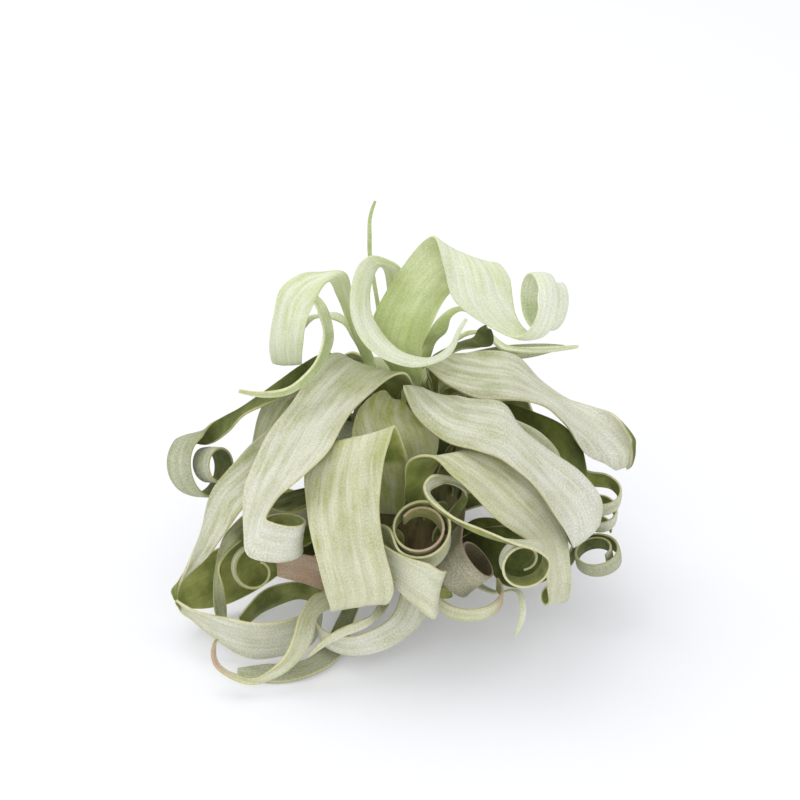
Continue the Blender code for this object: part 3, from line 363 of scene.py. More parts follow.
        (-24, -32, 35, -20, -35, 25), (-24.5, -43, 32, -23, -45, 19.5), (-33, -44, 33, -31.5, -46, 23),
        (-41, -43, 30.5, -40.5, -44, 24.5),
    ]),
    Leaf("leaf_right_shade", seat=(-10, 47, 13), rib=0.8, look=SHADED, frost=0.2, flip=1.1, rails=[
        (25, -10, 64, 25, -1, 67), (35, -14, 61, 36, -2, 67), (46, -17, 57, 47, -4, 64),
        (54, -19, 52, 56, -6, 59.5), (59, -21, 47.5, 61.5, -9, 54), (61.5, -22, 43, 63, -14, 49.5),
        (62, -22, 40, 63, -17, 44.5),
    ]),
    Leaf("leaf_right_ring", seat=(-24, 12, 8), rib=0.5, look=SHADED, rails=[
        (29, -23, 15, 31, -17, 27), (36, -29, 11, 38, -22, 30), (45, -31, 12, 47, -25, 27),
        (53, -28, 14.5, 52.5, -29, 23), (58.5, -23, 15.5, 57.5, -24, 21.5),
    ], coils=(
        Coil((67, -25.5, 18.5), (-0.2, -0.15, 0.97), turns=-1.6, radius=5, width=4.5, advance=2),
    )),
    Leaf("leaf_low_thread", seat=(-50, 7, 5), rib=0.3, look=YOUNG_GLOW, rails=[
        (30, -33, 11, 32, -32, 11), (38.5, -44, 18.5, 40.5, -43, 17.5), (40, -50, 14.5, 41.5, -49, 13),
        (38, -50, 5, 38.5, -49, 4),
    ]),
    Leaf("leaf_front_tip", seat=(-108, 15, 5), rib=0.3, rails=[
        (-6, -42, 20, -2.5, -41, 19), (-8.5, -59, 20.5, -5.5, -58, 19.5), (-12.5, -66, 22, -10.5, -65, 19),
        (-21, -69, 19.5, -20, -68, 16.5), (-29.5, -71, 12, -29.5, -71, 11),
    ]),
    Leaf("leaf_left_curl", seat=(-147, 18, 7), rib=0.5, look=SHADED, frost=0.5, rails=[
        (-33.5, -32, 28, -32.5, -32, 22.5), (-41, -39, 32.5, -39, -39, 26),
    ], coils=(
        Coil((-48.5, -42, 25.5), (0.3, -0.8, 0.5), turns=1.1, radius=3, width=2, advance=2),
    )),
    Leaf("leaf_left_inner", seat=(170, 53, 8), rib=0.8, look=SHADED, frost=0.5, rails=[
        (-20, 5, 62, -20.5, -2, 61), (-30, 6, 75.5, -26.5, 1, 69.5), (-37, 6, 73, -33, 0, 66),
        (-44, 5, 68, -38, -2, 62.5), (-48, 2, 61, -42, -6, 58.5), (-50.5, -2, 52.5, -45, -8, 52),
        (-51.5, -5, 44.5, -47, -9, 45.5),
    ]),
    Leaf("leaf_right_middle", seat=(-35.5, 48, 6), rib=0.7, look=OUTER, frost=0.4, rails=[
        (16.5, -19, 60, 20, -14.5, 60.5), (21.5, -22, 70, 28.5, -17, 73), (29, -26, 65, 37.5, -20, 70.5),
        (38, -28, 59.5, 46.5, -22, 66.5), (44.5, -30, 53, 52.5, -24, 60), (48.5, -31, 46, 54, -27, 53),
        (50.5, -31, 40, 54, -28, 44),
    ]),
    Leaf("leaf_floor_inner", seat=(-167, 13, 9), rib=0.6, flip=1.1, rails=[
        (-31, -6, 22, -31, -10, 12), (-44, -18, 28, -43, -19, 8), (-60, -29, 26.5, -58, -29, 3.5),
        (-67, -32, 23, -65.5, -33, 4.5), (-72.5, -34, 17.5, -71.5, -36, 6.5),
        (-75.5, -36, 14, -74.5, -38, 9.5),
    ]),
    Leaf("leaf_floor_under", seat=(-117, 7, 5), rib=0.2, look=SHADED, rails=[
        (-21, -40, 5, -16, -42, 4), (-24.5, -50, 3, -18, -52, 2), (-29.5, -59, 2.5, -23, -62, 1.5),
        (-37, -61.5, 2, -31, -68, 1.5), (-43, -62, 2, -39, -70, 1), (-48, -63, 2, -46, -69, 1),
        (-53, -64, 2, -53, -66, 1.5),
    ]),
    Leaf("leaf_right_point", seat=(28.5, 67, 3), rib=0.3, look=SHADED, rails=[
        (14.5, 7.5, 74.5, 13, 10, 76.5), (28, 17.5, 72.5, 25.5, 20, 75.5), (37, 18, 73, 34.5, 21, 77),
        (46.5, 19, 74, 45, 22, 77.5), (53, 20, 75.5, 52, 22, 77.5), (57.5, 21, 76.5, 57, 22, 77),
    ]),
    Leaf("leaf_front_cone", seat=(-84, 16, 6), rib=0.8, rails=[
        (-4, -31, 21.5, 3, -32, 24), (-10, -38, 23, -8, -38, 29.5), (-13.5, -48, 27, -13.5, -49, 43),
        (-9, -55, 31, -9, -56.5, 48), (-3, -60.5, 33, -2, -62, 46), (3, -65, 28.5, 4.5, -67, 45.5),
        (7.5, -67.5, 26, 9.5, -69, 45), (10.5, -67, 23.5, 13, -67.5, 42),
        (12, -63.5, 23.5, 14.5, -63.5, 39.5),
    ]),
    Leaf("leaf_inner_right", seat=(-36, 38, 5), rib=0.8, look=SHADED, rails=[
        (13, -20, 46, 24, -15, 45), (12, -26, 53, 27, -20, 52), (14, -30, 60, 28, -25, 60),
        (17, -32, 64, 26, -29, 64),
    ]),
    Leaf("leaf_crown_shade", seat=(-126, 56, 8), rib=0.8, look=SHADED, rails=[
        (-17, -14, 66, -9, -19, 65), (-20, -18, 67, -10, -25, 65), (-20.5, -22, 62, -13, -28, 59),
        (-18, -25, 56, -15, -27, 54),
    ]),
]


# ---- leaves behind the plant, in tiers that each hold a course of (radius, height) rows
@dataclass(frozen=True)
class Tier:
    """A ring of leaves that share one course."""
    seat_height: float
    half_width: float
    rows: tuple             # (radius, height) of every station
    widths: tuple           # share of the half width there
    rolls: tuple            # degrees that the blade leans sideways there
    look: Tone = PALE


@dataclass(frozen=True)
class BackLeaf:
    """A leaf of a tier, with what sets it apart from its neighbours and the coil it ends in."""
    name: str
    tier: Tier
    azimuth: float
    reach: float
    rise: float
    width: float
    sway: float             # degrees that the tip has swung round the stem
    coil: tuple             # first radius, turns (below 0 curls up), last radius, advance


UPPER = Tier(seat_height=60, half_width=9.5, rows=((16, 69), (24.5, 70), (37, 65), (49, 56), (54.5, 46)),
             widths=(0.42, 0.75, 1, 1, 0.9), rolls=(16, 16, 12, 10, 12))
MIDDLE = Tier(seat_height=43, half_width=8.5, rows=((24, 48), (33, 47), (44, 37), (56, 29), (61, 20)),
              widths=(0.6, 0.9, 1, 0.95, 0.85), rolls=(14, 14, 10, 9, 9), look=SHADED)
LOWER = Tier(seat_height=29, half_width=7.5, rows=((27, 36), (35, 30), (43, 19), (48, 11)),
             widths=(0.75, 1, 1, 0.85), rolls=(12, 8, 6, 4))
SPREAD = Tier(seat_height=29, half_width=7.5, rows=((27, 36), (35, 28), (44, 14), (56, 7), (64, 7)),
              widths=(0.75, 1, 1, 0.95, 0.85), rolls=(12, 8, 6, 4, 4))
SKIRT = Tier(seat_height=11, half_width=6, rows=((27, 17), (36, 16), (45, 10.5), (51, 9)),
             widths=(0.8, 1, 0.9, 0.75), rolls=(8, 6, 4, 3), look=OUTER)
BACK_SEAT_HALF_ANGLE = 12.0
SKIRT_SEAT_HALF_ANGLE = 9.0
BACK_COIL_WIDTH = 2.5
COIL_LEAN = 0.15        # rise of a coil's axis to each unit that it runs sideways
BACK_RIB = 1.0
BACK_LEAVES: list[BackLeaf] = [
    BackLeaf("back_upper_1", UPPER, 36, 1.05, 0, 1.0, 5, (5, 1.2, 2.5, 9)),
    BackLeaf("back_upper_2", UPPER, 71, 0.9, 1, 1.1, -4, (4.5, 0.9, 3.5, -5)),
    BackLeaf("back_upper_3", UPPER, 105, 1.12, 0, 0.9, 5, (6, 1.6, 2, 10)),
    BackLeaf("back_upper_4", UPPER, 142, 0.95, 1, 1.0, -5, (4.5, 1.1, 2.5, -8)),
    BackLeaf("back_middle_1", MIDDLE, 20, 0.95, 2, 0.95, -4, (4.5, 1.1, 2.5, -7)),
    BackLeaf("back_middle_2", MIDDLE, 54, 1.0, 2, 1.1, 5, (4.5, 1.2, 2, 9)),
    BackLeaf("back_middle_3", MIDDLE, 90, 0.88, 4, 0.9, -6, (5, 0.9, 3.5, -6)),
    BackLeaf("back_middle_4", MIDDLE, 124, 1.08, 1, 1.0, -3, (4.5, 1.2, 2, -8)),
    BackLeaf("back_middle_5", MIDDLE, 160, 0.94, 3, 1.05, -3, (5, 0.8, 4, -5)),
    BackLeaf("back_lower_1", LOWER, 16, 1.0, 0, 1.0, -3, (4, 0.8, 3, -6)),
    BackLeaf("back_lower_2", SPREAD, 56, 1.0, 0, 1.0, 3, (3, -0.8, 2.5, 5)),
    BackLeaf("back_lower_3", LOWER, 98, 1.05, 2, 0.95, 1, (5, 0.8, 3.5, 7)),
    BackLeaf("back_lower_4", SPREAD, 139, 0.9, 1, 0.95, 3, (4, -0.7, 3, 5)),
    BackLeaf("back_skirt_1", SKIRT, -2, 0.9, 0, 0.9, -5, (3, -0.8, 2.5, -4)),
    BackLeaf("back_skirt_2", SKIRT, 36, 1.05, 0, 1.0, -3, (3, -0.9, 2, -5)),
    BackLeaf("back_skirt_3", SKIRT, 76, 0.9, 0, 1.05, 1, (2.5, -0.7, 2, 5)),
    BackLeaf("back_skirt_4", SKIRT, 120, 1.1, 0, 0.9, 3, (3, -0.9, 2, 5)),
    BackLeaf("back_skirt_5", SKIRT, 161, 1.0, 1, 1.0, 2, (3.5, -0.8, 2.5, 5)),
]


def arch_station(azimuth: float, radius: float, height: float, roll: float,
                 half_width: float) -> tuple[float, ...]:
    """Place the edges of a back leaf at one row of its course.

    Args:
        azimuth: Direction of the leaf there, in degrees.
        radius: Distance from the axis.
        height: Height over the floor.
        roll: How far the blade leans sideways, in degrees.
        half_width: Half of the blade's width.

    Returns:
        Left edge and right edge.
    """
    centre, tilt = polar(azimuth, radius, height), math.radians(roll)
    across = (polar(azimuth + 90, 1, 0) * math.cos(tilt) + np.array([0, 0, math.sin(tilt)])) * half_width
    return *(centre - across), *(centre + across)


def end_coil(row: tuple, before: tuple, azimuth: float, coil: tuple) -> Coil:
    """Carry a course on into a coil.

    Args:
        row: Last radius and height of the course.
        before: The radius and height before them.
        azimuth: Direction of the leaf's tip, in degrees.
        coil: First radius, turns, last radius and advance.

    Returns:
        The coil.
    """
    first_radius, turns, last_radius, advance = coil
    out, up = unit([row[0] - before[0], row[1] - before[1]])
    bend = math.copysign(first_radius, turns)
    return Coil(centre=tuple(polar(azimuth, row[0] + up * bend, row[1] - out * bend)),
                axis=tuple(polar(azimuth + 90, 1, COIL_LEAN)), turns=turns,
                radius=last_radius, width=BACK_COIL_WIDTH, advance=advance)


def back_leaf(leaf: BackLeaf) -> Leaf:
    """Lay a leaf of the far side out by the course of its tier.

    Args:
        leaf: The leaf's place in its tier.

    Returns:
        The leaf with its stations and its coil.
    """
    tier = leaf.tier
    start = tier.rows[0][0]
    course, rails = [], []
    for index, (radius, height) in enumerate(tier.rows):
        part = index / (len(tier.rows) - 1)
        row = (start + (radius - start) * leaf.reach, height + leaf.rise * part)
        course.append(row)
        rails.append(arch_station(leaf.azimuth + leaf.sway * part ** 2, *row, tier.rolls[index],
                                  tier.half_width * leaf.width * tier.widths[index]))
    coil = end_coil(course[-1], course[-2], leaf.azimuth + leaf.sway, leaf.coil)
    half_angle = SKIRT_SEAT_HALF_ANGLE if tier is SKIRT else BACK_SEAT_HALF_ANGLE
    return Leaf(name=f"leaf_{leaf.name}", seat=(leaf.azimuth, tier.seat_height, half_angle),
                rib=BACK_RIB, rails=rails, coils=(coil,), look=tier.look)


# ---- node expressions


class Wire:
    """A shader socket that can be used in plain arithmetic."""

    def __init__(self, tree: bpy.types.NodeTree, socket: bpy.types.NodeSocket) -> None:
        """Hold a socket of a node tree."""
        self.tree = tree
        self.socket = socket

    def math(self, operation: str, *others: Wire | float) -> Wire:
        """Join sockets or numbers through a Math node.

        Args:
            operation: The Math node's operation.
            others: The values after this one.

        Returns:
            The node's result.
        """
        node = self.tree.nodes.new("ShaderNodeMath")
        node.operation = operation
        for slot, value in zip(node.inputs, (self, *others)):
            if isinstance(value, Wire):
                self.tree.links.new(value.socket, slot)
            else:
                slot.default_value = value
        return Wire(self.tree, node.outputs[0])

    def __add__(self, other: Wire | float) -> Wire:
        """Sum."""
        return self.math("ADD", other)

    def __mul__(self, other: Wire | float) -> Wire:
        """Product."""
        return self.math("MULTIPLY", other)

    def __sub__(self, other: Wire | float) -> Wire:
        """Difference."""
        return self.math("SUBTRACT", other)

    def __rsub__(self, other: float) -> Wire:
        """Difference from a number."""
        return (self * -1.0) + other

    def step(self, low: float, high: float) -> Wire:
        """Rise smoothly from 0 to 1 between two values of this socket."""
        node = self.tree.nodes.new("ShaderNodeMapRange")
        node.interpolation_type = "SMOOTHSTEP"
        node.inputs["From Min"].default_value = low
        node.inputs["From Max"].default_value = high
        self.tree.links.new(self.socket, node.inputs["Value"])
        return Wire(self.tree, node.outputs["Result"])


class Palette:
    """A material under construction: it makes nodes and hands out their sockets."""

    def __init__(self, name: str) -> None:
        """Start a material with an empty node tree."""
        self.material = bpy.data.materials.new(name)
        self.material.use_nodes = True
        self.tree = self.material.node_tree
        self.tree.nodes.clear()

    def node(self, kind: str, settings: dict | None = None, **values: object) -> dict[str, Wire]:
        """Add any node.

        Args:
            kind: The node's type.
            settings: Properties of the node, set before its sockets.
            values: Sockets by name with underscores for spaces; a Wire is linked.

        Returns:
            The node's outputs by name.
        """
        made = self.tree.nodes.new(kind)
        for key, value in (settings or {}).items():
            setattr(made, key, value)
        slots = {slot.name: slot for slot in made.inputs if slot.enabled}
        for key, value in values.items():
            slot = slots[key.replace("_", " ")]
            if isinstance(value, Wire):
                self.tree.links.new(value.socket, slot)
            elif isinstance(value, tuple) and len(value) == 3 and slot.type == "RGBA":
                slot.default_value = (*value, 1.0)
            else:
                slot.default_value = value
        return {out.name: Wire(self.tree, out) for out in made.outputs if out.enabled}

    def blend(self, factor: Wire | float, first: Wire | Colour, second: Wire | Colour) -> Wire:
        """Mix two colours by a factor."""
        made = self.node("ShaderNodeMix", {"data_type": "RGBA"}, Factor=factor, A=first, B=second)
        return made["Result"]

    def scaled(self, colour: Wire, factor: Wire) -> Wire:
        """Make a colour lighter or darker by a factor."""
        made = self.node("ShaderNodeVectorMath", {"operation": "SCALE"}, Vector=colour, Scale=factor)
        return made["Vector"]

    def noise(self, vector: Wire, scale: float, detail: float, roughness: float) -> Wire:
        """Noise between 0 and 1 at a scale of the vector's units."""
        made = self.node("ShaderNodeTexNoise", Vector=vector, Scale=scale, Detail=detail,
                         Roughness=roughness)
        return made["Fac"]

    def stretched(self, vector: Wire, scale: tuple) -> Wire:
        """A vector scaled on each axis."""
        return self.node("ShaderNodeMapping", Vector=vector, Scale=scale)["Vector"]

    def finish(self, colour: Wire | Colour, roughness: Wire | float, normal: Wire | None,
               **constants: object) -> bpy.types.Material:
        """Close the material with a Principled shader.

        Args:
            colour: Base colour.
            roughness: Roughness.
            normal: Bumped normal, if any.
            constants: Plain values of other sockets.

        Returns:
            The material.
        """
        links = {"Base_Color": colour, "Roughness": roughness, **constants}
        if normal is not None:
            links["Normal"] = normal
        shader = self.node("ShaderNodeBsdfPrincipled", **links)
        self.node("ShaderNodeOutputMaterial", Surface=shader["BSDF"])
        return self.material


# ---- finishes


@dataclass(frozen=True)
class Marks:
    """What every point of a blade knows of itself, as its "blade" attribute holds it."""
    side: Wire              # 0 on the inner face, 1 on the outer
    along: Wire             # 0 at the base, MOIST_TIP or more at the tip
    edge: Wire              # 0 on the midline, 1 on the edge
    frost: Wire

    @classmethod
    def read(cls, skin: Palette) -> Marks:
        """Read the attribute."""
        blade = skin.node("ShaderNodeAttribute", {"attribute_name": "blade"})
        parts = skin.node("ShaderNodeSeparateColor", Color=blade["Color"])
        return cls(parts["Red"], parts["Green"], parts["Blue"], blade["Alpha"])


class Grain:
    """Noise over a blade's skin; what follows the veins is drawn out along the blade."""

    def __init__(self, skin: Palette) -> None:
        """Lay the patterns out on the blade's UV map."""
        self.skin = skin
        self.place = skin.node("ShaderNodeUVMap", {"uv_map": "UVMap"})["UV"]
        self.strand = self.drawn_out(0.045, scale=110.0, detail=3.0, roughness=0.6)
        self.vein = self.drawn_out(0.02, scale=46.0, detail=1.0, roughness=0.4)
        self.streak = self.drawn_out(0.11, scale=40.0, detail=2.0, roughness=0.55)
        self.blotch = self.drawn_out(0.45, scale=24.0, detail=4.0, roughness=0.65)
        self.cloud = skin.noise(self.place, scale=9.0, detail=3.0, roughness=0.55)
        self.scurf = skin.noise(self.place, scale=380.0, detail=2.0, roughness=0.7)
        self.tooth = skin.noise(self.place, scale=150.0, detail=3.0, roughness=0.7)
        self.speck = self.tooth.step(0.34, 0.68) * 0.45 + self.scurf.step(0.36, 0.68) * 0.4 + 0.12

    def drawn_out(self, share: float, **noise: float) -> Wire:
        """Noise whose scale along the blade is a share of its scale across."""
        return self.skin.noise(self.skin.stretched(self.place, (1.0, share, 1.0)), **noise)


@dataclass(frozen=True)
class LeafFinish:
    """Colours of a blade: its outer and inner face, the shade painted on them, its thin edge and its drying
    tip.
    """
    outside: Colour
    # inside: the inner face's own greener colour, painted darker as the shade that curled inner faces lie
    # in
    inside: Colour
    shade_green: Colour                # painted shade: dark green on the inner face and at the leaf base
    rim: Colour
    tip: Colour
    bloom: Colour = (0.90, 0.90, 0.87)
    bloom_share: float = 0.55   # how well the scurf covers the outer face
    inner_share: float = 0.06

    def faces(self, skin: Palette, mark: Marks, grain: Grain) -> Wire:
        """Colour both faces: streaks of green, under scurf that hides most of them outside.

        Args:
            skin: The material under construction.
            mark: The blade's marks.
            grain: The blade's patterns.

        Returns:
            The colour.
        """
        # inner face: its own green mottled with the painted shade green
        inner = skin.blend(grain.cloud.step(0.3, 0.7), self.shade_green, self.inside)
        green = (grain.streak.step(0.34, 0.66) * 0.6 + grain.blotch.step(0.4, 0.72) * 0.45
                 + mark.edge.step(0.5, 0.97) * 0.2)
        green = green * (1.2 - grain.cloud) * (1.45 - mark.along.step(0.1, 0.75) * 0.75)
        green = green * (1.7 - mark.frost * 0.7)
        outer = skin.blend(green.math("MINIMUM", 1.0), self.outside, self.inside)
        dust = grain.speck * (grain.cloud.step(0.25, 0.7) * 0.5 + 0.5)
        dust = dust * (mark.along.step(0.05, 0.75) * 0.9 + 0.38) * mark.frost
        outer = skin.blend((dust * self.bloom_share).math("MINIMUM", 0.9), outer, self.bloom)
        inner = skin.blend(dust * self.inner_share, inner, self.bloom)
        return skin.blend(mark.side.step(0.3, 0.7), inner, outer)

    def age(self, skin: Palette, mark: Marks, grain: Grain, colour: Wire) -> Wire:
        """Paint shade over the base, pale the edge and dry the tip.

        Args:
            skin: The material under construction.
            mark: The blade's marks.
            grain: The blade's patterns.
            colour: Colour of the faces.

        Returns:
            The colour with painted shade at the base, a pale edge and a dry tip.
        """
        # painted shade: each blade darkens towards its base, in the crevices of the crown
        colour = skin.blend((1 - mark.along.step(0.02, 0.3)) * 0.6, colour, self.shade_green)
        flank = (1 - (mark.side - 0.5).math("ABSOLUTE").step(0.3, 0.47)) * mark.edge.step(0.9, 0.98)
        rim = flank.math("MAXIMUM", mark.edge.step(0.94, 1.0) * 0.7)
        colour = skin.blend(rim * (grain.vein.step(0.25, 0.6) * 0.5 + 0.5), colour, self.rim)
        dry = mark.along.step(MOIST_TIP, 1.0) * (grain.blotch.step(0.3, 0.6) * 0.6 + 0.4)
        dry = dry * (rim.math("MAXIMUM", mark.side * 0.7) * 0.8 + 0.2)
        return skin.blend(dry, colour, self.tip)

    def build(self, name: str) -> bpy.types.Material:
        """Make the scurfy leaf skin.

        Args:
            name: Name of the material.

        Returns:
            A material that reads the blade's UV map and its "blade" attribute.
        """
        skin = Palette(name)
        mark, grain = Marks.read(skin), Grain(skin)
        colour = self.age(skin, mark, grain, self.faces(skin, mark, grain))
        shade = grain.strand * 0.4 + grain.vein * 0.25 + grain.speck * 0.26 + 0.52
        relief = grain.strand * 0.5 + grain.vein * 0.9 + grain.tooth * 0.55 + grain.scurf * 0.35
        bump = skin.node("ShaderNodeBump", Strength=0.55, Distance=0.0006, Height=relief)
        return skin.finish(skin.scaled(colour, shade), 0.92 - grain.strand * 0.12, bump["Normal"],
                           Specular_IOR_Level=0.25, Sheen_Weight=0.12, Sheen_Roughness=0.5,
                           Sheen_Tint=(0.95, 0.97, 0.92))


FINISHES = {
    PALE: LeafFinish(outside=(0.66, 0.66, 0.43), inside=(0.39, 0.42, 0.10),
                     shade_green=(0.17, 0.21, 0.03), rim=(0.68, 0.65, 0.36), tip=(0.60, 0.40, 0.29)),
    # young leaves: their own paler yellow-green, painted brighter still as a glow of light shining through
    # the thin top leaves
    YOUNG_GLOW: LeafFinish(outside=(0.80, 0.84, 0.62), inside=(0.62, 0.70, 0.32),
                      shade_green=(0.44, 0.54, 0.17), rim=(0.76, 0.78, 0.46), tip=(0.62, 0.58, 0.26),
                      bloom_share=0.65, inner_share=0.7),
    OUTER: LeafFinish(outside=(0.68, 0.68, 0.50), inside=(0.36, 0.39, 0.11),
                      shade_green=(0.12, 0.15, 0.02), rim=(0.70, 0.66, 0.40), tip=(0.62, 0.44, 0.31),
                      bloom_share=0.75),
    SHADED: LeafFinish(outside=(0.40, 0.42, 0.22), inside=(0.16, 0.19, 0.035),
                       shade_green=(0.055, 0.075, 0.01), rim=(0.56, 0.54, 0.24), tip=(0.46, 0.30, 0.15),
                       bloom_share=0.45),
    BLUSH: LeafFinish(outside=(0.34, 0.31, 0.15), inside=(0.12, 0.10, 0.035),
                      shade_green=(0.07, 0.05, 0.02), rim=(0.60, 0.40, 0.30), tip=(0.52, 0.32, 0.22),
                      bloom_share=0.45),
}


@dataclass(frozen=True)
class StemFinish:
    """Colours of the papery leaf bases that wrap the stem, painted dark as the shade that the stem lies in
    among the leaves.
    """
    # the husk's own hues, kept dark as painted shade so that the stem reads as shadowy leaf bases
    fresh: Colour = (0.17, 0.20, 0.07)
    papery: Colour = (0.17, 0.13, 0.06)
    dark: Colour = (0.05, 0.035, 0.015)

    def build(self) -> bpy.types.Material:
        """Make the dry, striped husk.

        Returns:
            A material that reads Object coordinates and the "husk" attribute.
        """
        husk = Palette("stem_husk")
        mark = husk.node("ShaderNodeAttribute", {"attribute_name": "husk"})
        parts = husk.node("ShaderNodeSeparateColor", Color=mark["Color"])
        rise, lip = parts["Red"], parts["Green"]
        place = husk.node("ShaderNodeTexCoord")["Object"]
        stripe = husk.noise(husk.stretched(place, (1.0, 1.0, 0.12)), scale=620.0, detail=3.0, roughness=0.6)
        patch = husk.noise(place, scale=90.0, detail=3.0, roughness=0.6)
        colour = husk.blend(rise.step(0.25, 0.8), self.papery, self.fresh)
        colour = husk.blend(patch.step(0.5, 0.75) * 0.6, colour, self.dark)
        colour = husk.blend(lip * 0.6, colour, self.dark)
        colour = husk.scaled(colour, stripe * 0.7 + 0.6)
        bump = husk.node("ShaderNodeBump", Strength=0.6, Distance=0.0006, Height=stripe + patch * 0.5)
        return husk.finish(colour, 0.9 - stripe * 0.15, bump["Normal"], Specular_IOR_Level=0.2)


@dataclass(frozen=True)
class FloorFinish:
    """A matt white sweep with the faintest cool tint."""
    white: Colour = (0.76, 0.76, 0.78)
    glow: Colour = (0.93, 0.94, 1.0)
    glow_strength: float = 0.21

    def build(self) -> bpy.types.Material:
        """Make the floor's paint."""
        paint = Palette("white_sweep")
        place = paint.node("ShaderNodeTexCoord")["Object"]
        tooth = paint.noise(place, scale=900.0, detail=2.0, roughness=0.5)
        bump = paint.node("ShaderNodeBump", Strength=0.05, Distance=0.0002, Height=tooth)
        return paint.finish(self.white, 0.8, bump["Normal"], Specular_IOR_Level=0.1,
                            Emission_Color=self.glow, Emission_Strength=self.glow_strength)


# ---- geometry of a blade


def stem_radius(height: float) -> float:
    """Radius of the stem's skin at a height, in millimetres."""
    return float(np.interp(height, [z for z, _ in STEM_PROFILE], [r for _, r in STEM_PROFILE]))


class Course:
    """The line that a leaf takes: rows of left edge, right edge and channel depth."""

    def __init__(self, leaf: Leaf) -> None:
        """Lay the leaf's stations out.

        Args:
            leaf: The leaf to follow.
        """
        self.leaf = leaf
        azimuth, height, half_angle = leaf.seat
        stations = [self.seat(azimuth, height, half_angle, 0.0),
                    self.seat(azimuth, height + SEAT_RISE, half_angle, SEAT_LIFT)]
        stations += [[*edges, leaf.rib] for edges in leaf.rails]
        for coil in leaf.coils:
            stations += self.coil(stations[-1], coil, leaf.rib)
        self.dense = self.smooth(stations)

    @staticmethod
    def seat(azimuth: float, height: float, half_angle: float, lift: float) -> list[float]:
        """Edges of a leaf base that hugs the stem.

        Args:
            azimuth: Direction of the base, in degrees.
            height: Height on the stem.
            half_angle: Half of the arc that the base spans, in degrees.
            lift: How far the base has left the stem.

        Returns:
            Left edge, right edge and depth.
        """
        top = min(height + 1, STEM_TOP)
        slope = (stem_radius(top) - stem_radius(height - 1)) / (top - height + 1)
        radius = stem_radius(height) + (SEAT_GAP + lift) * math.hypot(1, slope)
        return [*polar(azimuth - half_angle, radius, height), *polar(azimuth + half_angle, radius, height),
                radius * (1 - math.cos(math.radians(half_angle)))]

    @staticmethod
    def coil(start: list[float], coil: Coil, rib: float) -> list[list[float]]:
        """Stations of a coil that begins where the blade has come to.

        Args:
            start: The station that it leaves from.
            coil: How it winds.
            rib: Channel depth of the blade.

        Returns:
            The coil's stations.
        """
        left, right = np.array(start[:3]), np.array(start[3:6])
        axis, centre = unit(coil.axis), np.array(coil.centre, dtype=float)
        middle, first_width = (left + right) / 2, np.linalg.norm(right - left)
        side = 1 if (right - left) @ axis > 0 else -1
        along = (middle - centre) @ axis
        spoke = middle - centre - along * axis
        first_radius = np.linalg.norm(spoke)
        spoke = spoke / first_radius
        across = np.cross(axis, spoke)
        count = max(3, int(abs(coil.turns) * 360 / COIL_STEP))
        stations = []
        for index in range(1, count + 1):
            part = index / count
            angle = 2 * math.pi * coil.turns * part
            radius = first_radius + (coil.radius - first_radius) * part
            point = (centre + axis * (along + coil.advance * part)
                     + (spoke * math.cos(angle) + across * math.sin(angle)) * radius)
            half = (first_width + (coil.width - first_width) * part ** coil.width_power) / 2
            edge = axis * side * half
            stations.append([*(point - edge), *(point + edge), rib * (1 - part) * COIL_RIB])
        return stations

    @staticmethod
    def smooth(stations: list[list[float]]) -> np.ndarray:
        """Run a smooth curve through the stations.

        Args:
            stations: Left edge, right edge and depth of every station.

        Returns:
            Dense rows of the same seven numbers.
        """
        knots = np.asarray(stations, dtype=float)
        middles = middle_of(knots)
        gaps = np.sqrt(np.maximum(np.linalg.norm(np.diff(middles, axis=0), axis=1), TINY))
        slopes = np.zeros_like(knots)
        for i in range(1, len(knots) - 1):
            before, after = gaps[i - 1], gaps[i]
            slopes[i] = (after * (knots[i] - knots[i - 1]) / before
                         + before * (knots[i + 1] - knots[i]) / after) / (before + after)
        slopes[0] = 1.5 * (knots[1] - knots[0]) / gaps[0] - 0.5 * slopes[1]
        slopes[-1] = 1.5 * (knots[-1] - knots[-2]) / gaps[-1] - 0.5 * slopes[-2]
        u = np.linspace(0, 1, SPAN_SAMPLES, endpoint=False)[:, None]
        spans = []
        for i, gap in enumerate(gaps):
            spans.append((2 * u**3 - 3 * u**2 + 1) * knots[i] + (u**3 - 2 * u**2 + u) * gap * slopes[i]
                         + (-2 * u**3 + 3 * u**2) * knots[i + 1] + (u**3 - u**2) * gap * slopes[i + 1])
        return np.concatenate(spans + [knots[-1:]])

    def even(self, step: float) -> tuple[np.ndarray, np.ndarray, np.ndarray]:
        """Rows at an even pace, measured on whichever edge runs further.

        Args:
            step: Distance between two rows.

        Returns:
            The rows, their unit normals and their distance along the blade.
        """
        dense = self.dense
        runs = [np.linalg.norm(np.diff(dense[:, a:a + 3], axis=0), axis=1) for a in (0, 3)]
        travel = np.concatenate([[0], np.cumsum(np.maximum(*runs))])
        count = max(FEWEST_ROWS, int(travel[-1] / step))
        marks = np.linspace(0, travel[-1], count + 1)
        rows = np.stack([np.interp(marks, travel, dense[:, k]) for k in range(7)], axis=1)
        middle = middle_of(rows)
        normal = unit_rows(np.cross(np.gradient(middle, axis=0), across_of(rows)))
        if normal[0] @ (middle[0] * [1, 1, 0]) < 0:
            normal = -normal
        padded = np.pad(normal, ((2, 2), (0, 0)), mode="edge")
        normal = np.stack([np.convolve(padded[:, k], SMOOTHING, mode="valid") for k in range(3)], axis=1)
        return rows, unit_rows(normal), run_along(middle)


def outside_sign(rows: np.ndarray, normal: np.ndarray) -> int:
    """Which face of a blade lies on the outside of its curl: 1 for the normal's side."""
    heading = unit_rows(np.gradient(middle_of(rows), axis=0))
    bend = np.einsum("ij,ij->i", np.gradient(heading, axis=0), normal)
    return -1 if (bend * width_of(rows))[len(bend) // BASE_PART:].sum() > 0 else 1


# ---- the plant's pieces


